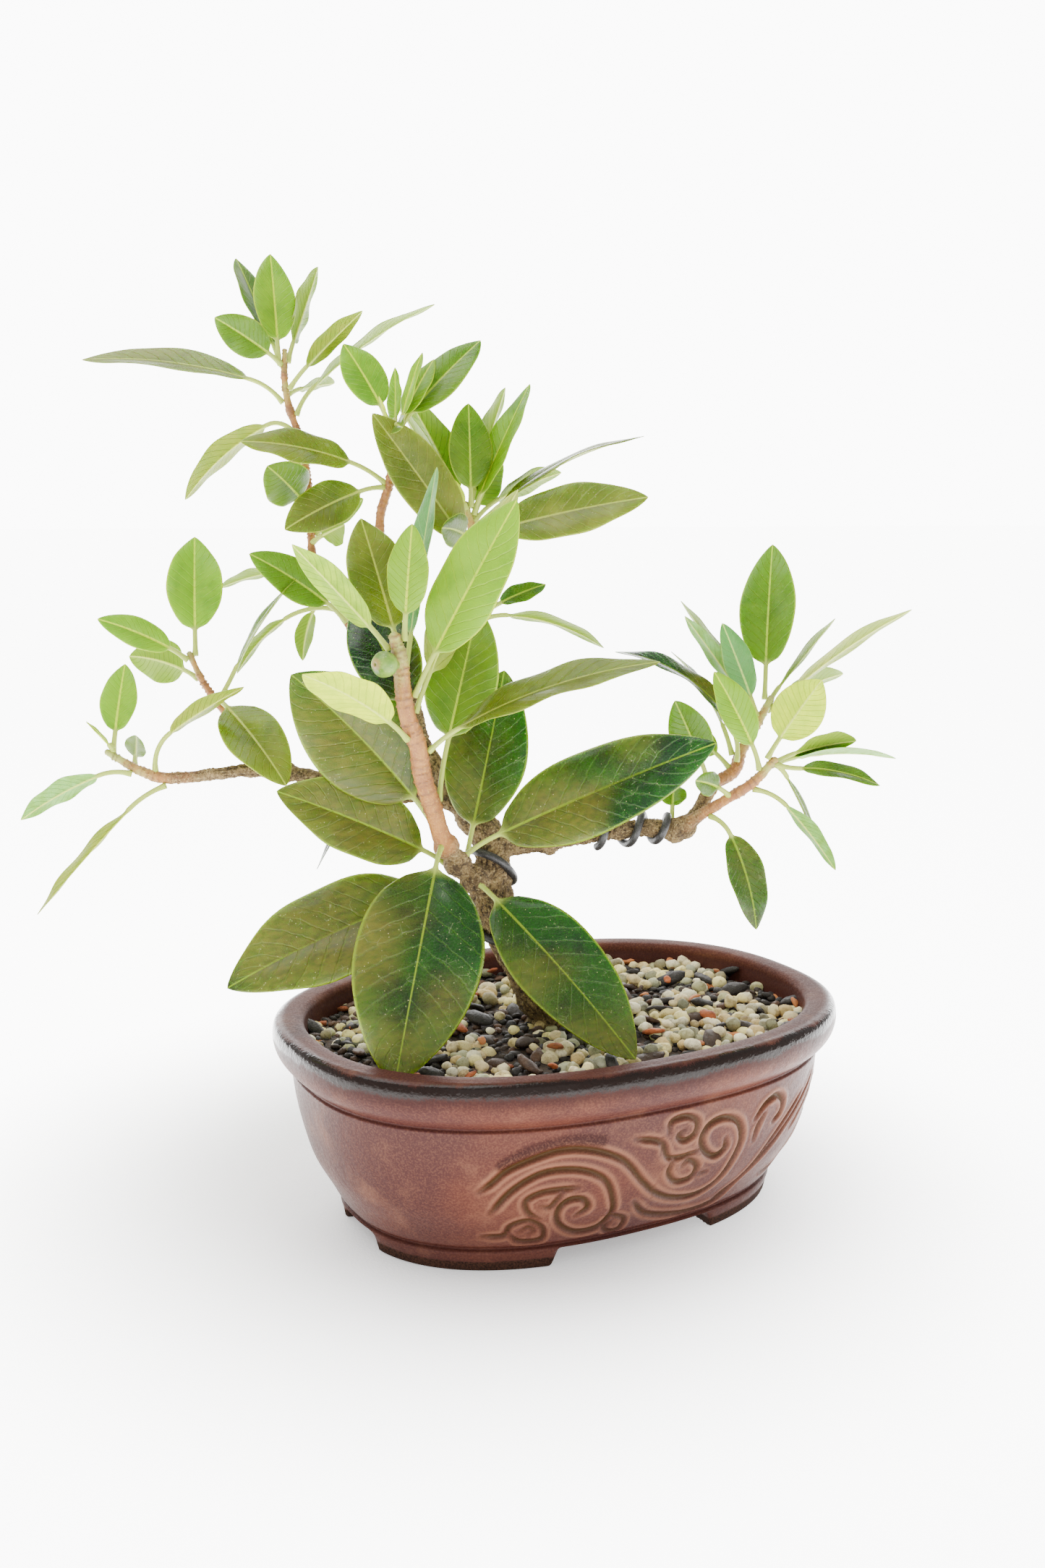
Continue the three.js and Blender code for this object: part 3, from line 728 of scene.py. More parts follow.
def strew_recipe():
    """Strews lumpy grains on a skin: points, round lumps on them, each turned, scaled and dented."""
    recipe = Recipe("Strew Grains", {
        "Width": "Float", "Spacing": "Float", "Squash": "Vector", "Dents": "Float", "Patchiness": "Float",
        "Pile": "Float", "Seed": "Int", "Material": "Material"})
    spot = recipe.node("GeometryNodeInputPosition")
    patches = recipe.node("ShaderNodeTexNoise", {}, {"Vector": spot, "Scale": 42.0, "Detail": 2.0})
    share = recipe.node("ShaderNodeMapRange", {}, {
        0: patches, 1: 0.42, 2: 0.52, 3: 1 - recipe.input("Patchiness"), 4: 1.0})
    points = recipe.node("GeometryNodeDistributePointsOnFaces", {"distribute_method": "POISSON"}, {
        "Mesh": recipe.input("Geometry"), "Distance Min": recipe.input("Spacing"), "Density Max": 220000.0,
        "Density Factor": share, "Seed": recipe.input("Seed")})
    pile = recipe.node("ShaderNodeCombineXYZ", {}, {
        2: recipe.random(-0.3, 1.0, 3) * recipe.input("Pile")})
    raised = recipe.node("GeometryNodeSetPosition", {}, {"Geometry": points, "Offset": pile})
    lump = recipe.node("GeometryNodeMeshIcoSphere", {}, {"Radius": 0.5, "Subdivisions": 2})
    size = recipe.random(0.72, 1.28, 11) * recipe.input("Width")
    stretch = recipe.node("ShaderNodeVectorMath", {"operation": "MULTIPLY"}, {
        0: recipe.random((0.82, 0.8, 0.74), (1.16, 1.12, 1.0), 12), 1: recipe.input("Squash")})
    scale = recipe.node("ShaderNodeVectorMath", {"operation": "SCALE"}, {0: stretch, "Scale": size})
    turned = recipe.random((-0.5, -0.5, 0.0), (0.5, 0.5, 6.28), 13)
    strewn = recipe.node("GeometryNodeInstanceOnPoints", {}, {
        "Points": raised, "Instance": lump, "Rotation": turned, "Scale": scale})
    named = recipe.node("GeometryNodeStoreNamedAttribute", {"data_type": "FLOAT", "domain": "INSTANCE"}, {
        "Geometry": strewn, "Name": "kind", "Value": recipe.random(0.0, 1.0, 17)})
    solid = recipe.node("GeometryNodeRealizeInstances", {}, {0: named})
    dent = recipe.node("ShaderNodeTexNoise", {}, {
        "Vector": recipe.node("GeometryNodeInputPosition"), "Scale": 330.0, "Detail": 2.0}, output=1)
    middle = recipe.node("ShaderNodeVectorMath", {"operation": "SUBTRACT"}, {0: dent, 1: (0.5, 0.5, 0.5)})
    shift = recipe.node("ShaderNodeVectorMath", {"operation": "SCALE"}, {0: middle, "Scale": recipe.input("Dents")})
    dented = recipe.node("GeometryNodeSetPosition", {}, {"Geometry": solid, "Offset": shift})
    return recipe.end(recipe.node("GeometryNodeSetShadeSmooth", {}, {"Geometry": dented, "Shade Smooth": True}))


def grain_finish(name, stops, rough, pits):
    """Porous grains: each has a colour from the stops by its stored number, with pits and stains."""
    paint = Finish(name)
    base = paint.ramp(paint.value("kind"), stops)
    stain = paint.cloud(260, 3, 0.6)
    pit = paint.cells(1900)
    dark = paint.mix(1.0, base, tone(150, 132, 100), "MULTIPLY")
    colour = paint.mix(stain.rise(0.45, 0.7, 0, 0.7), base, dark)
    colour = paint.mix(pit.rise(0.28, 0.1, 0, pits), colour, tone(70, 58, 44))
    relief = (stain - 0.5) * 0.8 + pit.rise(0.1, 0.45) * 0.5 * pits + (paint.cloud(2400, 2) - 0.5) * 0.3
    return paint.done(Base_Color=colour, Roughness=paint.cloud(900).rise(0.3, 0.7, rough - 0.1, rough + 0.08),
                      Normal=paint.bump(relief, 0.0006, 0.8))


class BONSAI_OT_grit(bpy.types.Operator):
    """Makes the bed of grit and strews pumice, stone, bark and clay chips over it"""
    bl_idname = "bonsai.grit"
    bl_label = "Grit"

    def execute(self, context):
        settings = context.scene.bonsai_grit
        bed_mesh, skin = grit_bed()
        # A dark brown bed under the grains, which shows in the gaps between them.
        crumb = Finish("damp_crumb")
        fine = crumb.cloud(700, 4, 0.7)
        colour = crumb.ramp(fine, [(0.3, tone(24, 17, 13)), (0.5, tone(52, 38, 28)), (0.72, tone(96, 76, 54))])
        bed_mesh.materials.append(crumb.done(
            Base_Color=colour, Roughness=fine.rise(0.3, 0.7, 0.75, 0.95), Normal=crumb.bump(fine, 0.0015)))
        declare(new_piece("grit_bed", bed_mesh), "grit", "soil")
        pumice = grain_finish("pumice_grains", [
            (0.0, settings.cream), (0.2, tone(214, 196, 140)), (0.36, tone(246, 236, 200)), (0.5, settings.grey),
            (0.62, tone(188, 184, 138)), (0.74, tone(112, 112, 92)), (0.84, tone(210, 180, 118)),
            (1.0, tone(230, 222, 188))], 0.82, 0.5)
        dark = grain_finish("bark_and_stone", [
            (0.0, settings.bark), (0.35, tone(34, 25, 19)), (0.6, tone(20, 16, 14)), (0.8, tone(84, 54, 32)),
            (1.0, tone(46, 38, 30))], 0.7, 0.7)
        clay = grain_finish("clay_chips", [
            (0.0, settings.terracotta), (0.5, tone(132, 66, 32)), (1.0, tone(196, 124, 70))], 0.85, 0.4)
        width = settings.grain * MM
        recipe = strew_recipe()
        kinds = [
            ("grit_crumbs", dark, 0.62 * width, 0.0031, (1.25, 1.0, 0.75), 0.0012, 0.0, 0.0012, 1),
            ("grit_pumice", pumice, width, 0.0036, (1.0, 1.0, 0.88), 0.0017, 0.9, 0.0028, 2),
            ("grit_pumice_upper", pumice, 1.08 * width, 0.0082, (1.05, 0.95, 0.84), 0.0024, 1.0, 0.0042, 5),
            ("grit_bark", dark, 1.3 * width, 0.0125, (1.7, 0.85, 0.5), 0.0026, 0.0, 0.0034, 3),
            ("grit_clay", clay, 0.95 * width, 0.0165, (1.5, 0.8, 0.5), 0.0022, 0.0, 0.0038, 4),
        ]
        for name, finish, size, spacing, squash, dents, patchiness, pile, offset in kinds:
            piece = new_piece(name, skin.copy())
            piece = recipe.run(
                piece, Width=size, Spacing=spacing, Squash=squash, Dents=dents, Patchiness=patchiness, Pile=pile,
                Seed=settings.seed + offset, Material=finish)
            declare(piece, "grit")
        return {"FINISHED"}


# ---- wood -----------------------------------------------------------------------------------------------------------

# Each limb is a list of [x, y, height above the grit at the wall, radius of the wood there].
LIMBS = {
    "trunk": [[-3, 0, -24, 10], [-3, 0, -4, 10], [-3, 0, 4, 8.6], [-9, 1, 14, 7.8], [-17, 5, 31, 7.3],
              [-24, 6, 47, 6.8], [-23, 7, 60, 6.2], [-23, 12, 69, 6], [-27, 21, 78, 5.2], [-31, 30, 87, 4.4]],
    "front": [[-23, 6, 49, 4.6], [-32, 3, 55, 4], [-39, 3, 62, 3.6], [-45, 1, 71, 3.5], [-49, -1, 81, 3.4],
              [-54, -3, 94, 3.4], [-56, -4, 104, 3.3], [-60, -5, 114, 3.1], [-62, -6, 124, 2.9],
              [-63, -7, 132, 2.7], [-65, -7, 140, 2]],
    "left": [[-27, 21, 78, 4], [-46, 30, 83, 3.4], [-64, 38, 85, 3.1], [-83, 46, 90, 3], [-94, 51, 91, 2.8],
             [-106, 55, 90, 2.5], [-123, 61, 89, 2.2], [-131, 64, 92, 1.9], [-140, 69, 98, 1.3]],
    "leftTwig": [[-87, 48, 90, 2.2], [-95, 60, 103, 1.7], [-101, 67, 113, 1.5], [-105, 72, 121, 1.4],
                 [-108, 76, 130, 1.1]],
    "right": [[-20, 8, 65, 5], [-3, 3, 66, 4], [15, -2, 68, 3.7], [33, -8, 69, 3.6], [43, -11, 68, 3.4],
              [50, -12, 74, 3.1], [56, -12, 83, 2.8], [64, -14, 88, 2.5], [67, -13, 94, 2.3], [72, -13, 101, 2],
              [80, -13, 113, 1.4]],
    "rightTwig": [[41, -11, 68, 2.6], [49, -18, 75, 2.2], [56, -24, 81, 2.1], [62, -28, 86, 2], [68, -32, 94, 1.5]],
    "apexLeft": [[-31, 29, 86, 3.4], [-39, 44, 108, 2.5], [-48, 58, 129, 2], [-55, 70, 148, 1.7],
                 [-60, 77, 160, 1.6], [-59, 83, 178, 1.6], [-59, 86, 194, 1.6], [-60, 91, 208, 1.5],
                 [-62, 94, 217, 1.5], [-63, 96, 227, 1.4], [-62, 98, 238, 1.1]],
    "apexMid": [[-35, 32, 90, 2.6], [-37, 46, 123, 2.1], [-39, 60, 159, 1.9], [-39, 65, 177, 1.9],
                [-36, 63, 190, 1.8], [-35, 60, 202, 1.7], [-35, 60, 211, 1.3]],
    "apexRight": [[-29, 28, 84, 2.8], [-18, 37, 115, 2.3], [-8, 47, 148, 2.1], [-6, 55, 171, 2], [-8, 58, 182, 1.6]],
}
# How old the bark is along each limb: [share of the limb, age].
AGES = {
    "trunk": [(0, 1), (1, 0.9)],
    "front": [(0, 1), (0.14, 0.95), (0.3, 0.3), (0.5, 0.12), (1, 0)],
    "left": [(0, 1), (0.25, 0.95), (0.5, 0.85), (0.7, 0.45), (1, 0.05)],
    "leftTwig": [(0, 0.4), (0.3, 0.1), (1, 0)],
    "right": [(0, 1), (0.3, 0.9), (0.5, 0.6), (0.75, 0.2), (1, 0)],
    "rightTwig": [(0, 0.6), (0.3, 0.3), (1, 0)],
    "apexLeft": [(0, 0.9), (0.15, 0.5), (0.35, 0.2), (1, 0)],
    "apexMid": [(0, 0.9), (0.2, 0.4), (0.5, 0.15), (1, 0)],
    "apexRight": [(0, 0.9), (0.3, 0.35), (0.6, 0.1), (1, 0)],
}
# Swollen places of the wood: limb, share, radius.
BURLS = [("trunk", 0.55, 8.3), ("trunk", 0.62, 7.6), ("trunk", 0.84, 7.2), ("trunk", 0.97, 6.4), ("trunk", 0.3, 9.4),
         ("front", 0.1, 5.6), ("front", 0.19, 5.0), ("front", 0.27, 4.6), ("left", 0.12, 4.6), ("left", 0.4, 4.0),
         ("left", 0.38, 3.9), ("right", 0.38, 4.7), ("right", 0.42, 4.5), ("right", 0.1, 5.4), ("apexLeft", 0.08, 4.2)]

LIMB_CURVES = {name: Curve([(x, y, GRIT_LEVEL + height) for x, y, height, _ in stations])
               for name, stations in LIMBS.items()}


def limb_radius(limb, share):
    """Radius of the wood at that share of the limb."""
    stations = LIMBS[limb]
    return float(np.interp(share * (len(stations) - 1), range(len(stations)), [station[3] for station in stations]))


def frame_on(limb, share):
    """Centre, direction and two sides of a limb there, without twist."""
    curve = LIMB_CURVES[limb]
    ahead = curve.ahead(share)
    side = Vector((0.31, 0.95, 0.05)).cross(ahead).normalized()
    return curve.point(share), ahead, side, side.cross(ahead).normalized()


def rough_limbs():
    """Every limb as a closed tube with a round tip, all crossing each other."""
    spots, faces = [], []
    for limb in LIMBS:
        rings = []
        for share in LIMB_CURVES[limb].samples(1.0):
            centre, ahead, side, over = frame_on(limb, share)
            radius = limb_radius(limb, share)
            lump = 1 + 0.1 * age_of(limb, share) * noise.noise(centre * 0.16)
            slim = 1 if limb == "trunk" else 0.93
            rings.append((centre, side, over, radius * lump * slim))
        for lean in (25, 50, 70, 84):
            lean = math.radians(lean)
            rings.append((centre + ahead * radius * math.sin(lean), side, over, radius * math.cos(lean)))
        sides = 26 if limb == "trunk" else 16
        start = len(spots)
        for centre, side, over, radius in rings:
            for step in range(sides):
                turn = math.tau * step / sides
                spots.append(centre + side * math.cos(turn) * radius + over * math.sin(turn) * radius)
        faces += [[corner + start for corner in face] for face in loft_faces(len(rings), sides)]
        faces.append([start + step for step in reversed(range(sides))])
        faces.append([len(spots) - sides + step for step in range(sides)])
    return spots, faces


def age_of(limb, share):
    """Age of the bark there, 0 to 1."""
    return float(np.interp(share, *zip(*AGES[limb])))


def bark_on(mesh, depth):
    """Pushes the smooth wood into furrows, plates and node rings, and stores what the bark colour follows."""
    marks = []
    for limb in LIMBS:
        way = 0.0
        before = None
        for share in LIMB_CURVES[limb].samples(0.8):
            centre, ahead, side, over = frame_on(limb, share)
            way += (centre - before).length if before else 0
            before = centre
            marks.append((centre, side, over, limb_radius(limb, share), way, age_of(limb, share), share, limb))
    tree = kdtree.KDTree(len(marks))
    for index, mark in enumerate(marks):
        tree.insert(mark[0], index)
    tree.balance()
    ages, furrows, rings, tips = [], [], [], []
    count = len(mesh.vertices)
    normals = np.empty(count * 3, dtype=np.float32)
    mesh.vertices.foreach_get("normal", normals)
    normals = normals.reshape(-1, 3)
    for vertex, normal in zip(mesh.vertices, normals):
        spot = (vertex.co - POT_MIDDLE) / MM
        found = min(tree.find_n(spot, 7), key=lambda near: abs(near[2] - marks[near[1]][3]))
        centre, side, over, radius, way, age, share, limb = marks[found[1]]
        out = spot - centre
        round_x, round_y = out.dot(side), out.dot(over)
        skin = Vector((round_x * 0.62, round_y * 0.62, way * 0.2 + 40 * (limb == "trunk")))
        split = 1 - min(1, abs(noise.noise(skin)) * 3.2)
        plate = noise.noise(spot * 0.33)
        fine = noise.noise(spot * 1.15)
        crack = 1 - min(1, abs(noise.noise(Vector((round_x * 0.4, round_y * 0.4, way * 0.75)))) * 5)
        furrow = max(split ** 2, 0.7 * crack ** 2)
        height = age * depth * (0.55 * plate + 0.3 * fine - 0.95 * furrow)
        gap = 6.5 + 2.5 * noise.noise(Vector((len(limb) * 7.7, way * 0.05, 0)))
        near_ring = abs((way / gap) % 1 - 0.5) * gap
        ring = math.exp(-(near_ring / 0.75) ** 2) * (1 - age)
        height += ring * 0.5 + (1 - age) * 0.09 * noise.noise(Vector((round_x * 2, round_y * 2, way * 0.3)))
        vertex.co += Vector(normal) * float(height * MM)
        ages.append(age)
        furrows.append(furrow)
        rings.append(ring)
        tips.append(float(smooth_step(0.72, 1.0, share)) if limb != "trunk" else 0)
    for name, values in (("age", ages), ("furrow", furrows), ("ring", rings), ("tip", tips)):
        give_values(mesh, name, values)


def bark_finish(settings):
    """Rough furrowed bark that grows into smooth pinkish stems with pale rings and green tips."""
    paint = Finish("fig_bark")
    age, furrow = paint.value("age"), paint.value("furrow")
    coarse = paint.cloud(170, 4, 0.65)
    fine = paint.cloud(1300, 3, 0.7)
    streak = paint.cloud(420, 3, 0.6, paint.stretched(1, 1, 0.3))
    old = paint.mix(coarse.rise(0.35, 0.66), tone(92, 72, 42), settings.old)
    old = paint.mix(fine.rise(0.5, 0.72, 0, 0.8), old, settings.lichen)
    old = paint.mix(fine.rise(0.46, 0.3, 0, 0.7), old, settings.furrow)
    old = paint.mix(furrow.rise(0.25, 0.85, 0, 0.85), old, settings.furrow)
    young = paint.mix(streak.rise(0.35, 0.66), settings.young, tone(132, 80, 30))
    young = paint.mix(fine.rise(0.55, 0.7, 0, 0.6), young, tone(192, 152, 76))
    young = paint.mix(fine.rise(0.42, 0.3, 0, 0.5), young, tone(120, 76, 54))
    young = paint.mix(paint.value("tip") * coarse.rise(0.3, 0.6), young, settings.tip)
    young = paint.mix(paint.value("ring") * 0.85, young, tone(96, 60, 34))
    ragged = (age + (coarse - 0.5) * 0.5).rise(0.28, 0.55)
    colour = paint.mix(ragged, young, old)
    relief = (fine - 0.5) * (age * 1.1 + 0.25) + (coarse - 0.5) * age - paint.cells(900).rise(0.3, 0.1) * age * 0.4
    rough = ragged.rise(0, 1, 0.5, 0.88) + (fine - 0.5) * 0.2
    return paint.done(Base_Color=colour, Roughness=rough, Normal=paint.bump(relief, 0.0011, 0.9))


class BONSAI_OT_wood(bpy.types.Operator):
    """Grows trunk, branches and twigs as one skin and furrows its bark"""
    bl_idname = "bonsai.wood"
    bl_label = "Wood"

    def execute(self, context):
        settings = context.scene.bonsai_wood
        piece = new_piece("fig_wood", mesh_of("fig_wood", *rough_limbs()))
        shell = bmesh.new()
        shell.from_mesh(piece.data)
        for limb, share, radius in BURLS:
            ball = bmesh.ops.create_icosphere(shell, subdivisions=3, radius=radius * MM)
            middle = at(*LIMB_CURVES[limb].point(share))
            for vertex in ball["verts"]:
                vertex.co += middle
        bmesh.ops.recalc_face_normals(shell, faces=shell.faces)
        shell.to_mesh(piece.data)
        shell.free()
        remesh = piece.modifiers.new("One skin", "REMESH")
        remesh.mode = "VOXEL"
        remesh.voxel_size = 0.58 * MM
        ease = piece.modifiers.new("Ease", "SMOOTH")
        ease.factor = 0.5
        ease.iterations = 5
        piece = finished(piece)
        bark_on(piece.data, settings.bark_depth)
        piece.data.shade_smooth()
        piece.data.materials.clear()
        piece.data.materials.append(bark_finish(settings))
        declare(piece, "bark", "trunk")
        return {"FINISHED"}


# ---- training wire ----------------------------------------------------------------------------------------------

# Limb, share where the coil starts, share where it ends, turns, angle at the start.
COILS = {"wire_trunk": ("trunk", 0.4, 0.72, 1.5, 0.0), "wire_right": ("right", 0.19, 0.35, 2.6, 0.4)}


def sweep_recipe():
    """Sweeps a round section along a path and closes its ends."""
    recipe = Recipe("Sweep Wire", {"Radius": "Float", "Sides": "Int", "Material": "Material"})
    path = recipe.node("GeometryNodeMeshToCurve", {}, {0: recipe.input("Geometry")})
    section = recipe.node("GeometryNodeCurvePrimitiveCircle", {}, {
        "Resolution": recipe.input("Sides"), "Radius": recipe.input("Radius")})
    swept = recipe.node("GeometryNodeCurveToMesh", {}, {"Curve": path, "Profile Curve": section, "Fill Caps": True})
    return recipe.end(recipe.node("GeometryNodeSetShadeSmooth", {}, {"Geometry": swept, "Shade Smooth": True}))


def wire_finish(settings):
    """Dark coated aluminium, scuffed to bare metal here and there."""
    paint = Finish("coated_wire")
    scuff = paint.cloud(520, 4, 0.7)
    fine = paint.cloud(2600, 2)
    worn = scuff.rise(0.66, 0.76)
    colour = paint.mix(fine.rise(0.35, 0.7), settings.colour, tone(52, 50, 50))
    colour = paint.mix(worn, colour, tone(150, 138, 124))
    return paint.done(Base_Color=colour, Roughness=scuff.rise(0.3, 0.7, 0.32, 0.55), Metallic=worn * 0.8 + 0.15,
                      Normal=paint.bump((fine - 0.5) * 0.6 + scuff, 0.0003, 0.5))


class BONSAI_OT_wires(bpy.types.Operator):
    """Winds the training wire round the trunk and the right branch"""
    bl_idname = "bonsai.wires"
    bl_label = "Training wire"

    def execute(self, context):
        settings = context.scene.bonsai_wire
        recipe = sweep_recipe()
        finish = wire_finish(settings)
        for name, (limb, start, end, turns, first_angle) in COILS.items():
            path = []
            count = round(turns * 72)
            for step in range(count + 1):
                part = step / count
                share = start + (end - start) * part
                angle = first_angle + math.tau * turns * part
                centre, _, side, over = frame_on(limb, share)
                reach = limb_radius(limb, share) + settings.radius - 0.1 + 0.25 * math.sin(part * 23)
                path.append(at(*(centre + side * math.cos(angle) * reach + over * math.sin(angle) * reach)))
            mesh = bpy.data.meshes.new(name)
            mesh.from_pydata(path, [(step, step + 1) for step in range(count)], [])
            piece = new_piece("training_" + name, mesh)
            piece = recipe.run(piece, Radius=settings.radius * MM, Sides=20, Material=finish)
            turn_outwards(piece.data)
            declare(piece, "training_wire", name)
        return {"FINISHED"}


# ---- things that grow off a limb --------------------------------------------------------------------------------


def direction(heading, climb):
    """Unit vector with a compass heading and a climb, in degrees."""
    turn, lift = math.radians(heading), math.radians(climb)
    return Vector((math.cos(lift) * math.cos(turn), math.cos(lift) * math.sin(turn), math.sin(lift)))


def seat(limb, share, heading, climb, half_thickness):
    """Where something that leaves the limb on that heading begins, just clear of the bark."""
    centre, ahead, _, _ = frame_on(limb, share)
    way = direction(heading, climb)
    lean = way.dot(ahead)
    outward = (way - ahead * lean).normalized()
    return centre + outward * (limb_radius(limb, share) + 0.3 + half_thickness * abs(lean))


class BONSAI_OT_fig(bpy.types.Operator):
    """Makes the small green fig on its short neck"""
    bl_idname = "bonsai.fig"
    bl_label = "Fig"

    def execute(self, context):
        way = direction(200, 4)
        base = seat("front", 0.9, 200, 4, 0)
        side = way.cross(Vector((0, 0, 1))).normalized()
        over = side.cross(way)
        outline = [(-1.1, 1.5), (0.1, 1.7), (0.5, 2.4)]
        for step in range(3, 29):
            angle = math.pi * step / 30
            outline.append((4.2 - 4.15 * math.cos(angle), 4.25 * math.sin(angle) ** 0.92))
        outline += [(8.3, 0.62), (7.95, 0.42), (7.8, 0.12)]
        sides = 44
        spots = []
        for way_out, radius in outline:
            for step in range(sides):
                turn = math.tau * step / sides
                swell = radius * (1 + 0.02 * math.cos(5 * turn) * min(1, way_out / 4))
                spots.append(base + way * way_out + (side * math.cos(turn) + over * math.sin(turn)) * swell)
        faces = loft_faces(len(outline), sides)
        faces += [list(range(sides)), [len(spots) - 1 - step for step in range(sides)]]
        mesh = mesh_of("green_fig", spots, faces)
        turn_outwards(mesh)
        give_values(mesh, "eye", [smooth_step(7.6, 8.3, way_out) for way_out, _ in outline for _ in range(sides)])
        paint = Finish("fig_skin")
        drift = paint.cloud(260, 3)
        fleck = paint.cells(1100)
        colour = paint.mix(drift.rise(0.35, 0.65), tone(74, 112, 22), tone(112, 142, 46))
        colour = paint.mix(fleck.rise(0.22, 0.1, 0, 0.6), colour, tone(168, 186, 96))
        colour = paint.mix(paint.value("eye") * 0.8, colour, tone(150, 118, 66))
        mesh.materials.append(paint.done(
            Base_Color=colour, Roughness=drift.rise(0.3, 0.7, 0.4, 0.55), Subsurface_Weight=0.1,
            Subsurface_Scale=0.002, Normal=paint.bump(drift + fleck * 0.3, 0.0005, 0.5)))
        declare(new_piece("green_fig", mesh), "fig_skin", "fig")
        return {"FINISHED"}


# ---- leaves -----------------------------------------------------------------------------------------------------------

# Looks of a leaf: deep, body and light colour of its top, its underside, its midrib, roughness, and how much
# dusty bloom and painted khaki sheen lies on it.
LOOKS = {
    "old": (tone(2, 24, 6), tone(16, 52, 4), tone(58, 92, 8), tone(92, 110, 16), tone(120, 140, 22), 0.22, 1.0),
    # Painted sheen: the look below, like the sheen look, paints khaki light reflected off waxy upper leaves into their
    # colour.
    "worn": (tone(66, 76, 8), tone(98, 104, 22), tone(132, 134, 44), tone(112, 124, 26), tone(160, 164, 66), 0.26, 0.8),
    "grown": (tone(42, 72, 0), tone(70, 100, 0), tone(106, 130, 0), tone(106, 130, 10), tone(160, 176, 42), 0.3, 0.35),
    "sheen": (tone(58, 70, 0), tone(88, 100, 8), tone(124, 132, 26), tone(108, 126, 14), tone(164, 170, 60), 0.28, 0.6),
    "fresh": (tone(68, 108, 0), tone(100, 138, 0), tone(138, 168, 0), tone(112, 144, 0), tone(180, 194, 30), 0.34, 0.08),
    "blue": (tone(36, 96, 40), tone(70, 126, 62), tone(120, 164, 84), tone(104, 140, 50), tone(176, 194, 96), 0.32, 0.2),
    "glow": (tone(120, 152, 0), tone(148, 176, 0), tone(182, 198, 0), tone(158, 180, 0), tone(200, 208, 24), 0.38, 0.04),
}
SLOTS = {"old": "old_leaf", "worn": "old_leaf", "grown": "grown_leaf", "sheen": "grown_leaf", "fresh": "young_leaf",
         "blue": "grown_leaf", "glow": "young_leaf"}

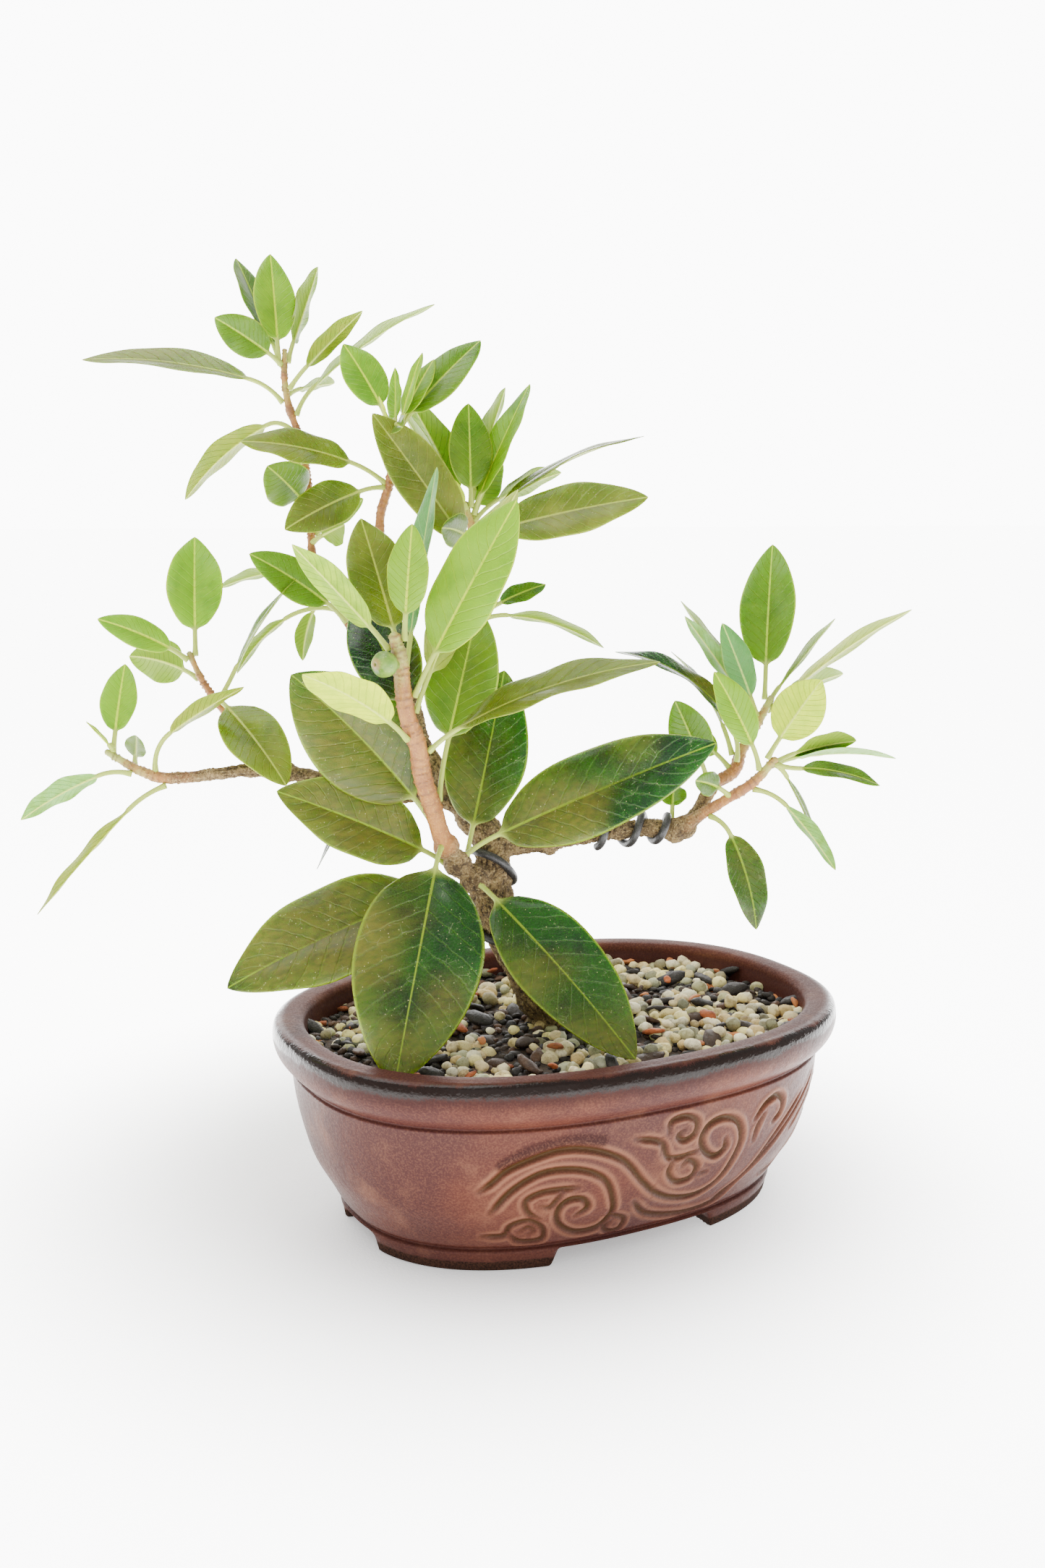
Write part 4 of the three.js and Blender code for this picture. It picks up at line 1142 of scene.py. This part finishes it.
# Each row: name, place along the limb (0 to 1), heading and climb of the blade in degrees, knee and
# droop in degrees, stalk, blade and width in millimetres, roll about the midrib, look.
FOLIAGE = {
    "apexLeft": [
        ["top_1", 0.98, 78, 69, 10, 5, 6, 36, 16, 8, "fresh"],
        ["top_2", 0.97, 103, 55, 10, 5, 7, 43, 15, 10, "grown"],
        ["top_3", 0.96, 176, 35, 10, 5, 5, 23, 14, -103, "grown"],
        ["top_4", 0.88, 326, 45, 10, 5, 9, 29, 11, -30, "sheen"],
        ["top_5", 0.84, 144, 16, 35, 20, 14, 66, 17, -28, "sheen"],
        ["top_6", 0.78, 351, 44, 25, 20, 11, 57, 14, -16, "grown"],
        ["top_7", 0.73, 151, -27, 70, 25, 9, 42, 14, 29, "sheen"],
        ["top_8", 0.52, 215, 34, 10, 5, 5, 22, 18, -127, "grown"],
        ["top_9", 0.26, 165, 39, 15, 15, 8, 33, 15, -75, "grown"],
    ],
    "apexMid": [
        ["mid_1", 1.0, 126, 59, 10, 5, 7, 27, 15, -52, "fresh"],
        ["mid_2", 0.97, 6, 46, 10, 5, 7, 40, 16, 40, "grown"],
        ["mid_3", 0.67, 167, 20, 20, 20, 13, 40, 16, -49, "sheen"],
        ["mid_4", 0.64, 171, -20, 20, 15, 8, 31, 17, -68, "sheen"],
    ],
    "apexRight": [
        ["high_1", 1.0, 72, 81, 10, 5, 5, 32, 17, 10, "grown"],
        ["high_2", 1.0, 114, 59, 10, 5, 6, 42, 16, 88, "grown"],
        ["high_3", 0.93, 5, 64, 10, 5, 6, 47, 17, 5, "fresh"],
        ["high_4", 0.66, 173, 54, 10, 5, 8, 54, 22, -78, "worn"],
        ["high_5", 0.87, 9, 26, 20, 15, 12, 32, 12, -51, "grown"],
        ["high_6", 0.8, 348, 40, 15, 30, 10, 63, 15, 3, "sheen"],
        ["high_7", 0.74, 327, 15, 15, 10, 8, 55, 21, 65, "worn"],
    ],
    "front": [
        ["front_1", 0.77, 327, 62, 5, 5, 14, 56, 23, 72, "fresh"],
        ["front_2", 0.71, 2, 65, 5, 5, 12, 69, 24, -70, "sheen"],
        ["front_3", 0.99, 317, 85, 3, 5, 7, 29, 14, 93, "fresh"],
        ["front_4", 0.97, 158, 49, 5, 5, 8, 36, 13, 53, "fresh"],
        ["front_5", 0.93, 107, 67, 5, 5, 8, 39, 21, -26, "sheen"],
        ["front_6", 0.84, 40, 70, 5, 5, 12, 60, 18, -39, "blue"],
        ["front_7", 0.65, 201, 34, 10, 15, 9, 41, 17, 32, "glow"],
        ["front_8", 0.3, 157, 53, 10, 8, 14, 59, 36, -84, "old"],
        ["front_9", 0.21, 167, 28, 10, 12, 8, 54, 26, -67, "old"],
        ["front_10", 0.12, 172, -15, 15, 15, 12, 74, 33, -55, "old"],
        ["front_11", 0.29, 229, -50, 25, 15, 8, 74, 42, -17, "old"],
        ["front_12", 0.1, 298, -36, 5, 3, 7, 73, 30, 40, "old"],
        ["front_13", 0.2, 327, 26, 15, 8, 13, 80, 30, 63, "old"],
        ["front_14", 0.58, 331, 30, 15, 25, 11, 70, 18, 25, "sheen"],
        ["front_15", 0.18, 29, 67, 5, 3, 10, 57, 29, 18, "old"],
        ["front_16", 0.42, 26, 68, 15, 5, 20, 47, 25, 23, "grown"],
        ["front_17", 0.65, 98, 53, 10, 5, 9, 43, 23, -29, "old"],
    ],
    "leftTwig": [
        ["left_1", 1.0, 72, 64, 5, 3, 8, 37, 20, 2, "fresh"],
        ["left_2", 0.98, 161, 30, 10, 15, 6, 27, 11, -69, "fresh"],
        ["left_3", 0.81, 117, 16, 10, 15, 6, 29, 16, 97, "grown"],
        ["left_6", 0.51, 288, -29, 10, 20, 5, 40, 20, 28, "sheen"],
    ],
    "left": [
        ["left_4", 0.99, 53, 67, 5, 5, 6, 25, 13, 8, "fresh"],
        ["left_5", 0.8, 327, 38, 55, 12, 14, 31, 11, -27, "sheen"],
        ["left_7", 0.9, 164, -20, 35, 20, 10, 30, 11, 49, "blue"],
        ["left_8", 0.75, 173, -44, 25, 5, 14, 47, 11, 29, "sheen"],
    ],
    "right": [
        ["right_1", 1.0, 51, 69, 3, 3, 11, 47, 21, -14, "grown"],
        ["right_2", 0.95, 160, 68, 5, 5, 6, 29, 12, -75, "blue"],
        ["right_5", 0.99, 346, 39, 5, 15, 8, 55, 12, -44, "sheen"],
        ["right_9", 0.76, 142, 56, 40, 50, 14, 49, 14, -16, "old"],
    ],
    "rightTwig": [
        ["right_3", 0.88, 164, 64, 15, 5, 8, 30, 13, -84, "fresh"],
        ["right_4", 1.0, 320, 58, 5, 5, 7, 25, 18, -90, "glow"],
        ["right_6", 1.0, 3, 11, 10, 15, 8, 29, 12, -52, "grown"],
        ["right_7", 0.99, 324, 1, -15, 25, 8, 28, 10, 27, "grown"],
        ["right_8", 0.28, 301, -61, 45, 20, 9, 35, 14, 41, "old"],
    ],
}
# Small leaves and bud sheaths, in the same columns without the name; they stand for no node of their own.
SMALL_FOLIAGE = {
    "apexLeft": [
        [0.98, 42, 55, 10, 5, 7, 37, 13, -85, "grown"], [0.86, 37, 12, 10, 5, 8, 25, 9, -36, "grown"],
        [0.47, 12, 30, 10, 5, 6, 18, 8, -89, "grown"], [0.45, 289, 19, 10, 5, 5, 13, 12, -72, "grown"],
        [0.39, 133, -3, 20, 20, 9, 30, 10, 16, "grown"], [0.29, 148, -32, 40, 30, 18, 28, 9, 19, "grown"],
        [0.32, 134, -64, 40, 20, 8, 19, 8, 36, "grown"], [0.05, 156, -44, 40, 20, 9, 48, 12, -6, "old"],
    ],
    "apexMid": [
        [1.0, 62, 35, 0, -60, 3, 22, 9, -49, "fresh"], [1.0, 333, 73, 10, 5, 3, 23, 9, 29, "fresh"],
        [0.99, 8, 60, 10, 5, 4, 24, 10, 24, "fresh"], [0.99, 255, -7, 10, 5, 4, 12, 8, 56, "grown"],
        [1.0, 170, 74, 5, 5, 1, 9, 3, 0, "glow"],
    ],
    "apexRight": [
        [0.99, 131, 59, 10, 5, 6, 46, 13, 37, "grown"], [1.0, 38, 59, 10, 5, 6, 48, 14, -85, "grown"],
        [0.72, 217, 18, 10, 15, 6, 18, 13, -108, "grown"], [0.9, 35, 49, 10, 5, 5, 26, 13, -127, "grown"],
        [0.74, 13, 22, 10, 5, 8, 23, 9, -80, "grown"], [0.47, 6, 21, 10, 5, 7, 21, 9, 37, "grown"],
        [0.45, 343, -2, 20, 35, 8, 39, 12, -22, "grown"], [0.99, 200, 62, 5, 5, 1, 10, 3, 20, "glow"],
    ],
    "left": [[0.9, 73, 16, 10, 5, 5, 20, 8, -156, "grown"], [1.0, 150, 48, 5, 5, 1, 11, 3.2, 0, "glow"]],
    "leftTwig": [[0.53, 358, 63, -5, 20, 12, 39, 9, -7, "grown"]],
    "right": [
        [0.95, 117, 54, 5, 8, 8, 42, 11, 42, "grown"], [0.94, 138, 57, 5, 8, 8, 36, 11, 42, "blue"],
        [1.0, 7, 43, 10, 5, 6, 37, 9, -51, "grown"], [0.98, 11, 21, 10, 15, 6, 37, 12, -54, "grown"],
        [0.79, 110, 62, 10, 30, 10, 35, 9, 22, "grown"], [0.6, 177, 65, 10, 5, 6, 26, 15, -115, "grown"],
        [0.7, 120, 37, 10, 15, 6, 15, 9, 95, "grown"], [0.37, 54, 48, 5, 5, 6, 10, 10, 4, "grown"],
    ],
    "rightTwig": [
        [0.98, 3, 5, 10, 20, 8, 48, 10, -18, "blue"], [0.73, 333, -45, 35, 15, 12, 30, 9, -32, "blue"],
        [0.98, 350, -58, 25, 10, 6, 33, 8, 31, "grown"], [0.48, 199, 24, 10, 10, 6, 14, 9, -100, "grown"],
    ],
}

HALF_RIB = [0.05, 0.12, 0.25, 0.42, 0.6, 0.76, 0.88, 0.96]
ACROSS = [-1] + [-q for q in reversed(HALF_RIB)] + [0] + HALF_RIB + [1]
BLADE_ROWS = 36
BASE_FULLNESS, TIP_FULLNESS = 0.64, 0.8
FULLEST = BASE_FULLNESS / (BASE_FULLNESS + TIP_FULLNESS)


def blade_outline(part):
    """Half width of a blade from its base (0) to its tip (1), at most 1."""
    full = FULLEST ** BASE_FULLNESS * (1 - FULLEST) ** TIP_FULLNESS
    return max(0.0, part) ** BASE_FULLNESS * max(0.0, 1 - part) ** TIP_FULLNESS / full


def leaf_mesh(name, limb, row, settings):
    """A leaf: a stalk rooted in the bark that widens into a folded, waved blade with a midrib."""
    share, heading, climb, knee, droop, stalk, blade, width, roll = row
    draw = random.Random(name)
    wave = draw.uniform(0.04, 0.11)
    waves = draw.uniform(1.3, 2.6)
    phase = draw.uniform(0, 1)
    curl = draw.uniform(0.0, 0.16)
    sweep = draw.uniform(-0.05, 0.05)
    lopsided = draw.uniform(-0.05, 0.05)
    twist = draw.uniform(-5, 5)

    def climb_at(distance):
        if distance < stalk:
            return climb + knee * (1 - max(0, distance) / stalk)
        return climb - droop * (distance - stalk) / blade

    base = seat(limb, share, heading, climb + knee, settings.stalk)
    distances = [-1.3, -0.5, 0.3, 1.1] + list(np.arange(2.0, stalk - 0.6, 1.3))
    distances = [distance for distance in distances if distance < stalk - 0.3]
    for index in range(BLADE_ROWS):
        part = index / (BLADE_ROWS - 1)
        distances.append(stalk + blade * (0.5 - 0.5 * math.cos(math.pi * part)) * 0.6 + blade * part * 0.4)
    spots, numbers = [], {"across": [], "along": [], "reach": [], "under": [], "stalk": []}
    centre = base.copy()
    reached = 0.0
    for distance in distances:
        while reached < distance - 1e-9:
            move = min(0.25, distance - reached)
            centre += direction(heading, climb_at(reached + move / 2)) * move
            reached += move
        spot = centre if distance >= 0 else base + direction(heading, climb + knee) * distance
        part = max(0.0, (distance - stalk) / blade)
        rise = climb_at(distance)
        turn = math.radians(roll + twist * part)
        up = direction(heading, rise + 90)
        aside = direction(heading, rise).cross(up)
        side = aside * math.cos(turn) - up * math.sin(turn)
        over = up * math.cos(turn) + aside * math.sin(turn)
        fullness = blade_outline(part)
        half = fullness * width / 2
        flat = float(smooth_step(0.0, 0.06, part))
        radius = settings.stalk * (1 + 0.3 * math.exp(-max(0, distance) / 1.4)) * (1 - 0.25 * flat)
        crease = settings.fold * min(1, part * 6) * min(1, (1 - part) * 4)
        thick = settings.thickness / 2 * (0.4 + 0.6 * fullness)
        shift = side * (sweep * blade * part * part)
        ring = [(q, 1) for q in ACROSS] + [(q, -1) for q in reversed(ACROSS[1:-1])]
        for q, face in ring:
            angle = math.acos(max(-1, min(1, q)))
            away = abs(q)
            across = half * (q + lopsided * (1 - q * q))
            lift = abs(across) * crease * (1.15 - 0.4 * away) - curl * half * away ** 3
            lift += wave * half * away * away * math.sin(math.tau * (waves * part + phase + 0.37 * (q > 0)))
            skin = thick * math.sqrt(max(0.0, 1 - away ** 5)) * face
            rib = math.exp(-(across / 0.55) ** 2) * (1 - part) ** 0.6
            skin += rib * (-0.16 if face > 0 else -0.42)
            round_across, round_lift = q * radius, math.sin(angle) * radius * face
            spots.append(spot + shift + side * (round_across + (across - round_across) * flat)
                         + over * (round_lift + (lift + skin - round_lift) * flat))
            numbers["across"].append(q)
            numbers["along"].append(part)
            numbers["reach"].append(abs(across))
            numbers["under"].append(0.5 - 0.5 * face * (away < 0.99))
            numbers["stalk"].append(1 - flat)
    count = len(ring)
    faces = loft_faces(len(distances), count)
    faces += [list(reversed(range(count))), [len(spots) - count + step for step in range(count)]]
    mesh = mesh_of(name, spots, faces)
    turn_outwards(mesh)
    for label, values in numbers.items():
        give_values(mesh, label, values)
    give_values(mesh, "mark", [draw.random()] * len(spots))
    return mesh


def leaf_finish(name, look, settings):
    """A waxy leaf with pale midrib, paired side veins, fine netting, dusty bloom, a painted khaki sheen and specks."""
    deep, body, light, under_tone, midrib, gloss, dust_and_sheen = look
    paint = Finish(name)
    across, along, reach = abs(paint.value("across")), paint.value("along"), paint.value("reach")
    under, mark = paint.value("under"), paint.value("mark")
    drift = paint.cloud(75, 3, 0.6)
    blotch = paint.cloud(210, 4, 0.65)
    fine = paint.cloud(1500, 2, 0.6)
    net = paint.cells(950, feature="DISTANCE_TO_EDGE").rise(0.09, 0.0)
    phase = along * 12 - across * 2.4 + (blotch - 0.5) * 0.5 + mark * 3
    vein = abs(phase.fraction() - 0.5).rise(0.4, 0.495)
    rib = (reach + (fine - 0.5) * 0.2 + along * 0.25).rise(0.62, 0.3)
    margin = across.rise(0.93, 0.985)
    colour = paint.mix((drift + mark * 0.3).rise(0.4, 0.8), deep, body)
    colour = paint.mix(blotch.rise(0.5, 0.8, 0, 0.2), colour, light)
    colour = paint.mix(net * 0.06, colour, light)
    colour = paint.mix(vein * 0.3, colour, light)
    streak = paint.cloud(620, 2, 0.5, paint.stretched(0.25, 1, 1))
    # Painted sheen: broad khaki patches stand in for light reflected off the waxy top, as strong as the look's bloom
    # and sheen amount; the same patches make the surface a little rougher.
    sheen_and_bloom = paint.cloud(24, 1, 0.4).rise(0.42, 0.66) * streak.rise(0.3, 0.7, 0.6, 1)
    colour = paint.mix(sheen_and_bloom * (0.5 * dust_and_sheen), colour, tone(112, 100, 30))
    scratch = paint.cells(260, feature="DISTANCE_TO_EDGE").rise(0.022, 0.006) * blotch.rise(0.54, 0.62)
    colour = paint.mix(scratch * (0.12 * dust_and_sheen), colour, tone(190, 196, 160))
    specks = paint.cells(560).rise(0.13, 0.07) * fine.rise(0.4, 0.5)
    colour = paint.mix(specks * (0.45 * dust_and_sheen), colour, tone(186, 176, 128))
    spots = paint.cells(330).rise(0.12, 0.06) * blotch.rise(0.52, 0.6)
    colour = paint.mix(spots * (0.7 * dust_and_sheen), colour, tone(70, 52, 28))
    colour = paint.mix(margin * 0.5, colour, midrib)
    colour = paint.mix(rib * 0.75, colour, midrib)
    back = paint.mix(blotch.rise(0.35, 0.7), under_tone, light)
    back = paint.mix((vein.over(net * 0.35)) * 0.5, back, body)
    back = paint.mix(rib * 0.85, back, settings.rib)
    colour = paint.mix(under, colour, back)
    colour = paint.mix(paint.value("stalk"), colour, settings.stem)
    relief = vein * -0.6 + net * -0.1 + (fine - 0.5) * 0.12 + (blotch - 0.5) * 0.3
    rough = fine.rise(0.3, 0.7, gloss - 0.05, gloss + 0.08) + sheen_and_bloom * (0.25 * dust_and_sheen) + under * 0.2
    return paint.done(Base_Color=colour, Roughness=rough, Normal=paint.bump(relief, 0.0005, 0.7),
                      Subsurface_Weight=0.12, Subsurface_Scale=0.003, Subsurface_Radius=(0.5, 0.9, 0.15),
                      Specular_IOR_Level=0.18, Coat_Weight=0.12 * min(1, dust_and_sheen + 0.1), Coat_Roughness=0.18)


class BONSAI_OT_leaves(bpy.types.Operator):
    """Makes every leaf and bud sheath, from dusty old ones to pale new ones"""
    bl_idname = "bonsai.leaves"
    bl_label = "Leaves"

    def execute(self, context):
        settings = context.scene.bonsai_leaf
        finishes = {name: leaf_finish(name + "_leaf", look, settings) for name, look in LOOKS.items()}
        for limb, table in FOLIAGE.items():
            for name, *row, look in table:
                mesh = leaf_mesh("foliage_" + name, limb, row, settings)
                mesh.materials.append(finishes[look])
                declare(new_piece("foliage_" + name, mesh), SLOTS[look], "leaf_" + name)
        count = 0
        for limb, table in SMALL_FOLIAGE.items():
            for *row, look in table:
                count += 1
                mesh = leaf_mesh(f"small_foliage_{count}", limb, row, settings)
                mesh.materials.append(finishes[look])
                declare(new_piece(f"small_foliage_{count}", mesh), SLOTS[look])
        return {"FINISHED"}


# ---- stage --------------------------------------------------------------------------------------------------------------

LENS = 36.53
SENSOR = 36
CAMERA_SPOT = (-268.6, -476.8, 242.4)
CAMERA_YAW = 0.489
CAMERA_PITCH = 0.167


def soft_light(name, spot, aim, size, power, colour):
    """A big square light at a spot that faces the aim, both in pot millimetres."""
    data = bpy.data.lights.new(name, "AREA")
    data.shape = "SQUARE"
    data.size = size
    data.energy = power
    data.color = colour
    light = bpy.data.objects.new(name, data)
    light.location = at(*spot)
    light.rotation_euler = (Vector(aim) - Vector(spot)).to_track_quat("-Z", "Y").to_euler()
    bpy.context.scene.collection.objects.link(light)


class BONSAI_OT_stage(bpy.types.Operator):
    """Lays the pale, glowing floor with a painted shadow round the pot, and sets up the soft lights and the camera"""
    bl_idname = "bonsai.stage"
    bl_label = "Stage"

    def execute(self, context):
        settings = context.scene.bonsai_stage
        scene = context.scene
        half = 30.0
        mesh = bpy.data.meshes.new("cloth_floor")
        mesh.from_pydata([(-half, -half, 0), (half, -half, 0), (half, half, 0), (-half, half, 0)], [], [(0, 1, 2, 3)])
        paint = Finish("pale_cloth")
        weave = paint.cloud(900, 2)
        toward = (math.sin(CAMERA_YAW), math.cos(CAMERA_YAW), 0.0)
        away = paint.node("ShaderNodeVectorMath", {"operation": "LENGTH"}, {0: paint.spot}, output=1)
        forward = paint.node("ShaderNodeVectorMath", {"operation": "DOT_PRODUCT"}, {0: paint.spot, 1: toward}, output=1)
        # The floor glows, less toward the front, and least close round the pot, where the dip is a painted shadow.
        glow_and_painted_shadow = away.rise(0.07, 0.24, 0.05, 1) * forward.rise(-0.3, 0.3, 0.9, 1) * forward.rise(-1.3, -0.35, 0.35, 1)
        white = paint.node("ShaderNodeMix", {"data_type": "RGBA"}, {
            0: glow_and_painted_shadow, 6: (0.0, 0.0, 0.0, 1.0), 7: (1.0, 1.0, 1.0, 1.0)}, output=2)
        mesh.materials.append(paint.done(
            Base_Color=paint.mix(weave, settings.floor, tone(236, 236, 236)), Roughness=0.95,
            Emission_Color=white, Emission_Strength=settings.glow * 0.8,
            Normal=paint.bump(weave, 0.0006, 0.5)))
        new_piece("cloth_floor", mesh)
        world = bpy.data.worlds.new("white_surround")
        world.use_nodes = True
        board = Board(world.node_tree)
        facing = board.node("ShaderNodeVectorMath", {"operation": "DOT_PRODUCT"}, {
            0: board.node("ShaderNodeTexCoord", output="Generated"), 1: toward}, output=1)
        glow = facing.rise(0.72, 0.9, settings.sky, settings.glow)
        surround = board.node("ShaderNodeBackground", {}, {"Color": (1.0, 1.0, 1.0, 1.0), "Strength": glow})
        board.place("ShaderNodeOutputWorld", {}, {"Surface": surround})
        scene.world = world
        soft_light("key", (-260, 200, 950), (-20, 10, 100), 0.8, settings.key, (1.0, 0.98, 0.95))
        soft_light("fill", (-300, -900, 500), (-20, 10, 120), 0.9, settings.key * 0.14, (0.96, 0.98, 1.0))
        data = bpy.data.cameras.new("camera")
        data.sensor_fit = "VERTICAL"
        data.sensor_height = SENSOR
        data.lens = LENS
        data.clip_start = 0.01
        camera = bpy.data.objects.new("camera", data)
        camera.location = at(*CAMERA_SPOT)
        camera.rotation_euler = (math.pi / 2 - CAMERA_PITCH, 0, -CAMERA_YAW)
        scene.collection.objects.link(camera)
        scene.camera = camera
        return {"FINISHED"}


# ---- panel and main -------------------------------------------------------------------------------------------------

SETTINGS = {
    "bonsai_pot": BONSAI_PG_pot, "bonsai_grit": BONSAI_PG_grit, "bonsai_wood": BONSAI_PG_wood,
    "bonsai_wire": BONSAI_PG_wire, "bonsai_leaf": BONSAI_PG_leaf, "bonsai_stage": BONSAI_PG_stage,
}
OPERATORS = (BONSAI_OT_pot, BONSAI_OT_grit, BONSAI_OT_wood, BONSAI_OT_wires, BONSAI_OT_fig, BONSAI_OT_leaves,
             BONSAI_OT_stage)


class BONSAI_PT_panel(bpy.types.Panel):
    """Sidebar panel with the sizes, the colours and a button for each part of the bonsai"""
    bl_idname = "BONSAI_PT_panel"
    bl_label = "Bonsai Fig"
    bl_space_type = "VIEW_3D"
    bl_region_type = "UI"
    bl_category = "Bonsai"

    def draw(self, context):
        for name, group in SETTINGS.items():
            box = self.layout.box()
            for key in group.__annotations__:
                box.prop(getattr(context.scene, name), key)
        for operator in OPERATORS:
            self.layout.operator(operator.bl_idname)


def register():
    for kind in (*SETTINGS.values(), *OPERATORS, BONSAI_PT_panel):
        bpy.utils.register_class(kind)
    for name, group in SETTINGS.items():
        setattr(bpy.types.Scene, name, PointerProperty(type=group))


def unregister():
    for name in SETTINGS:
        delattr(bpy.types.Scene, name)
    for kind in reversed((*SETTINGS.values(), *OPERATORS, BONSAI_PT_panel)):
        bpy.utils.unregister_class(kind)


def main():
    """Makes every piece in order."""
    register()
    bpy.ops.bonsai.pot()
    bpy.ops.bonsai.grit()
    bpy.ops.bonsai.wood()
    bpy.ops.bonsai.wires()
    bpy.ops.bonsai.fig()
    bpy.ops.bonsai.leaves()
    bpy.ops.bonsai.stage()


if __name__ == "__main__":
    main()
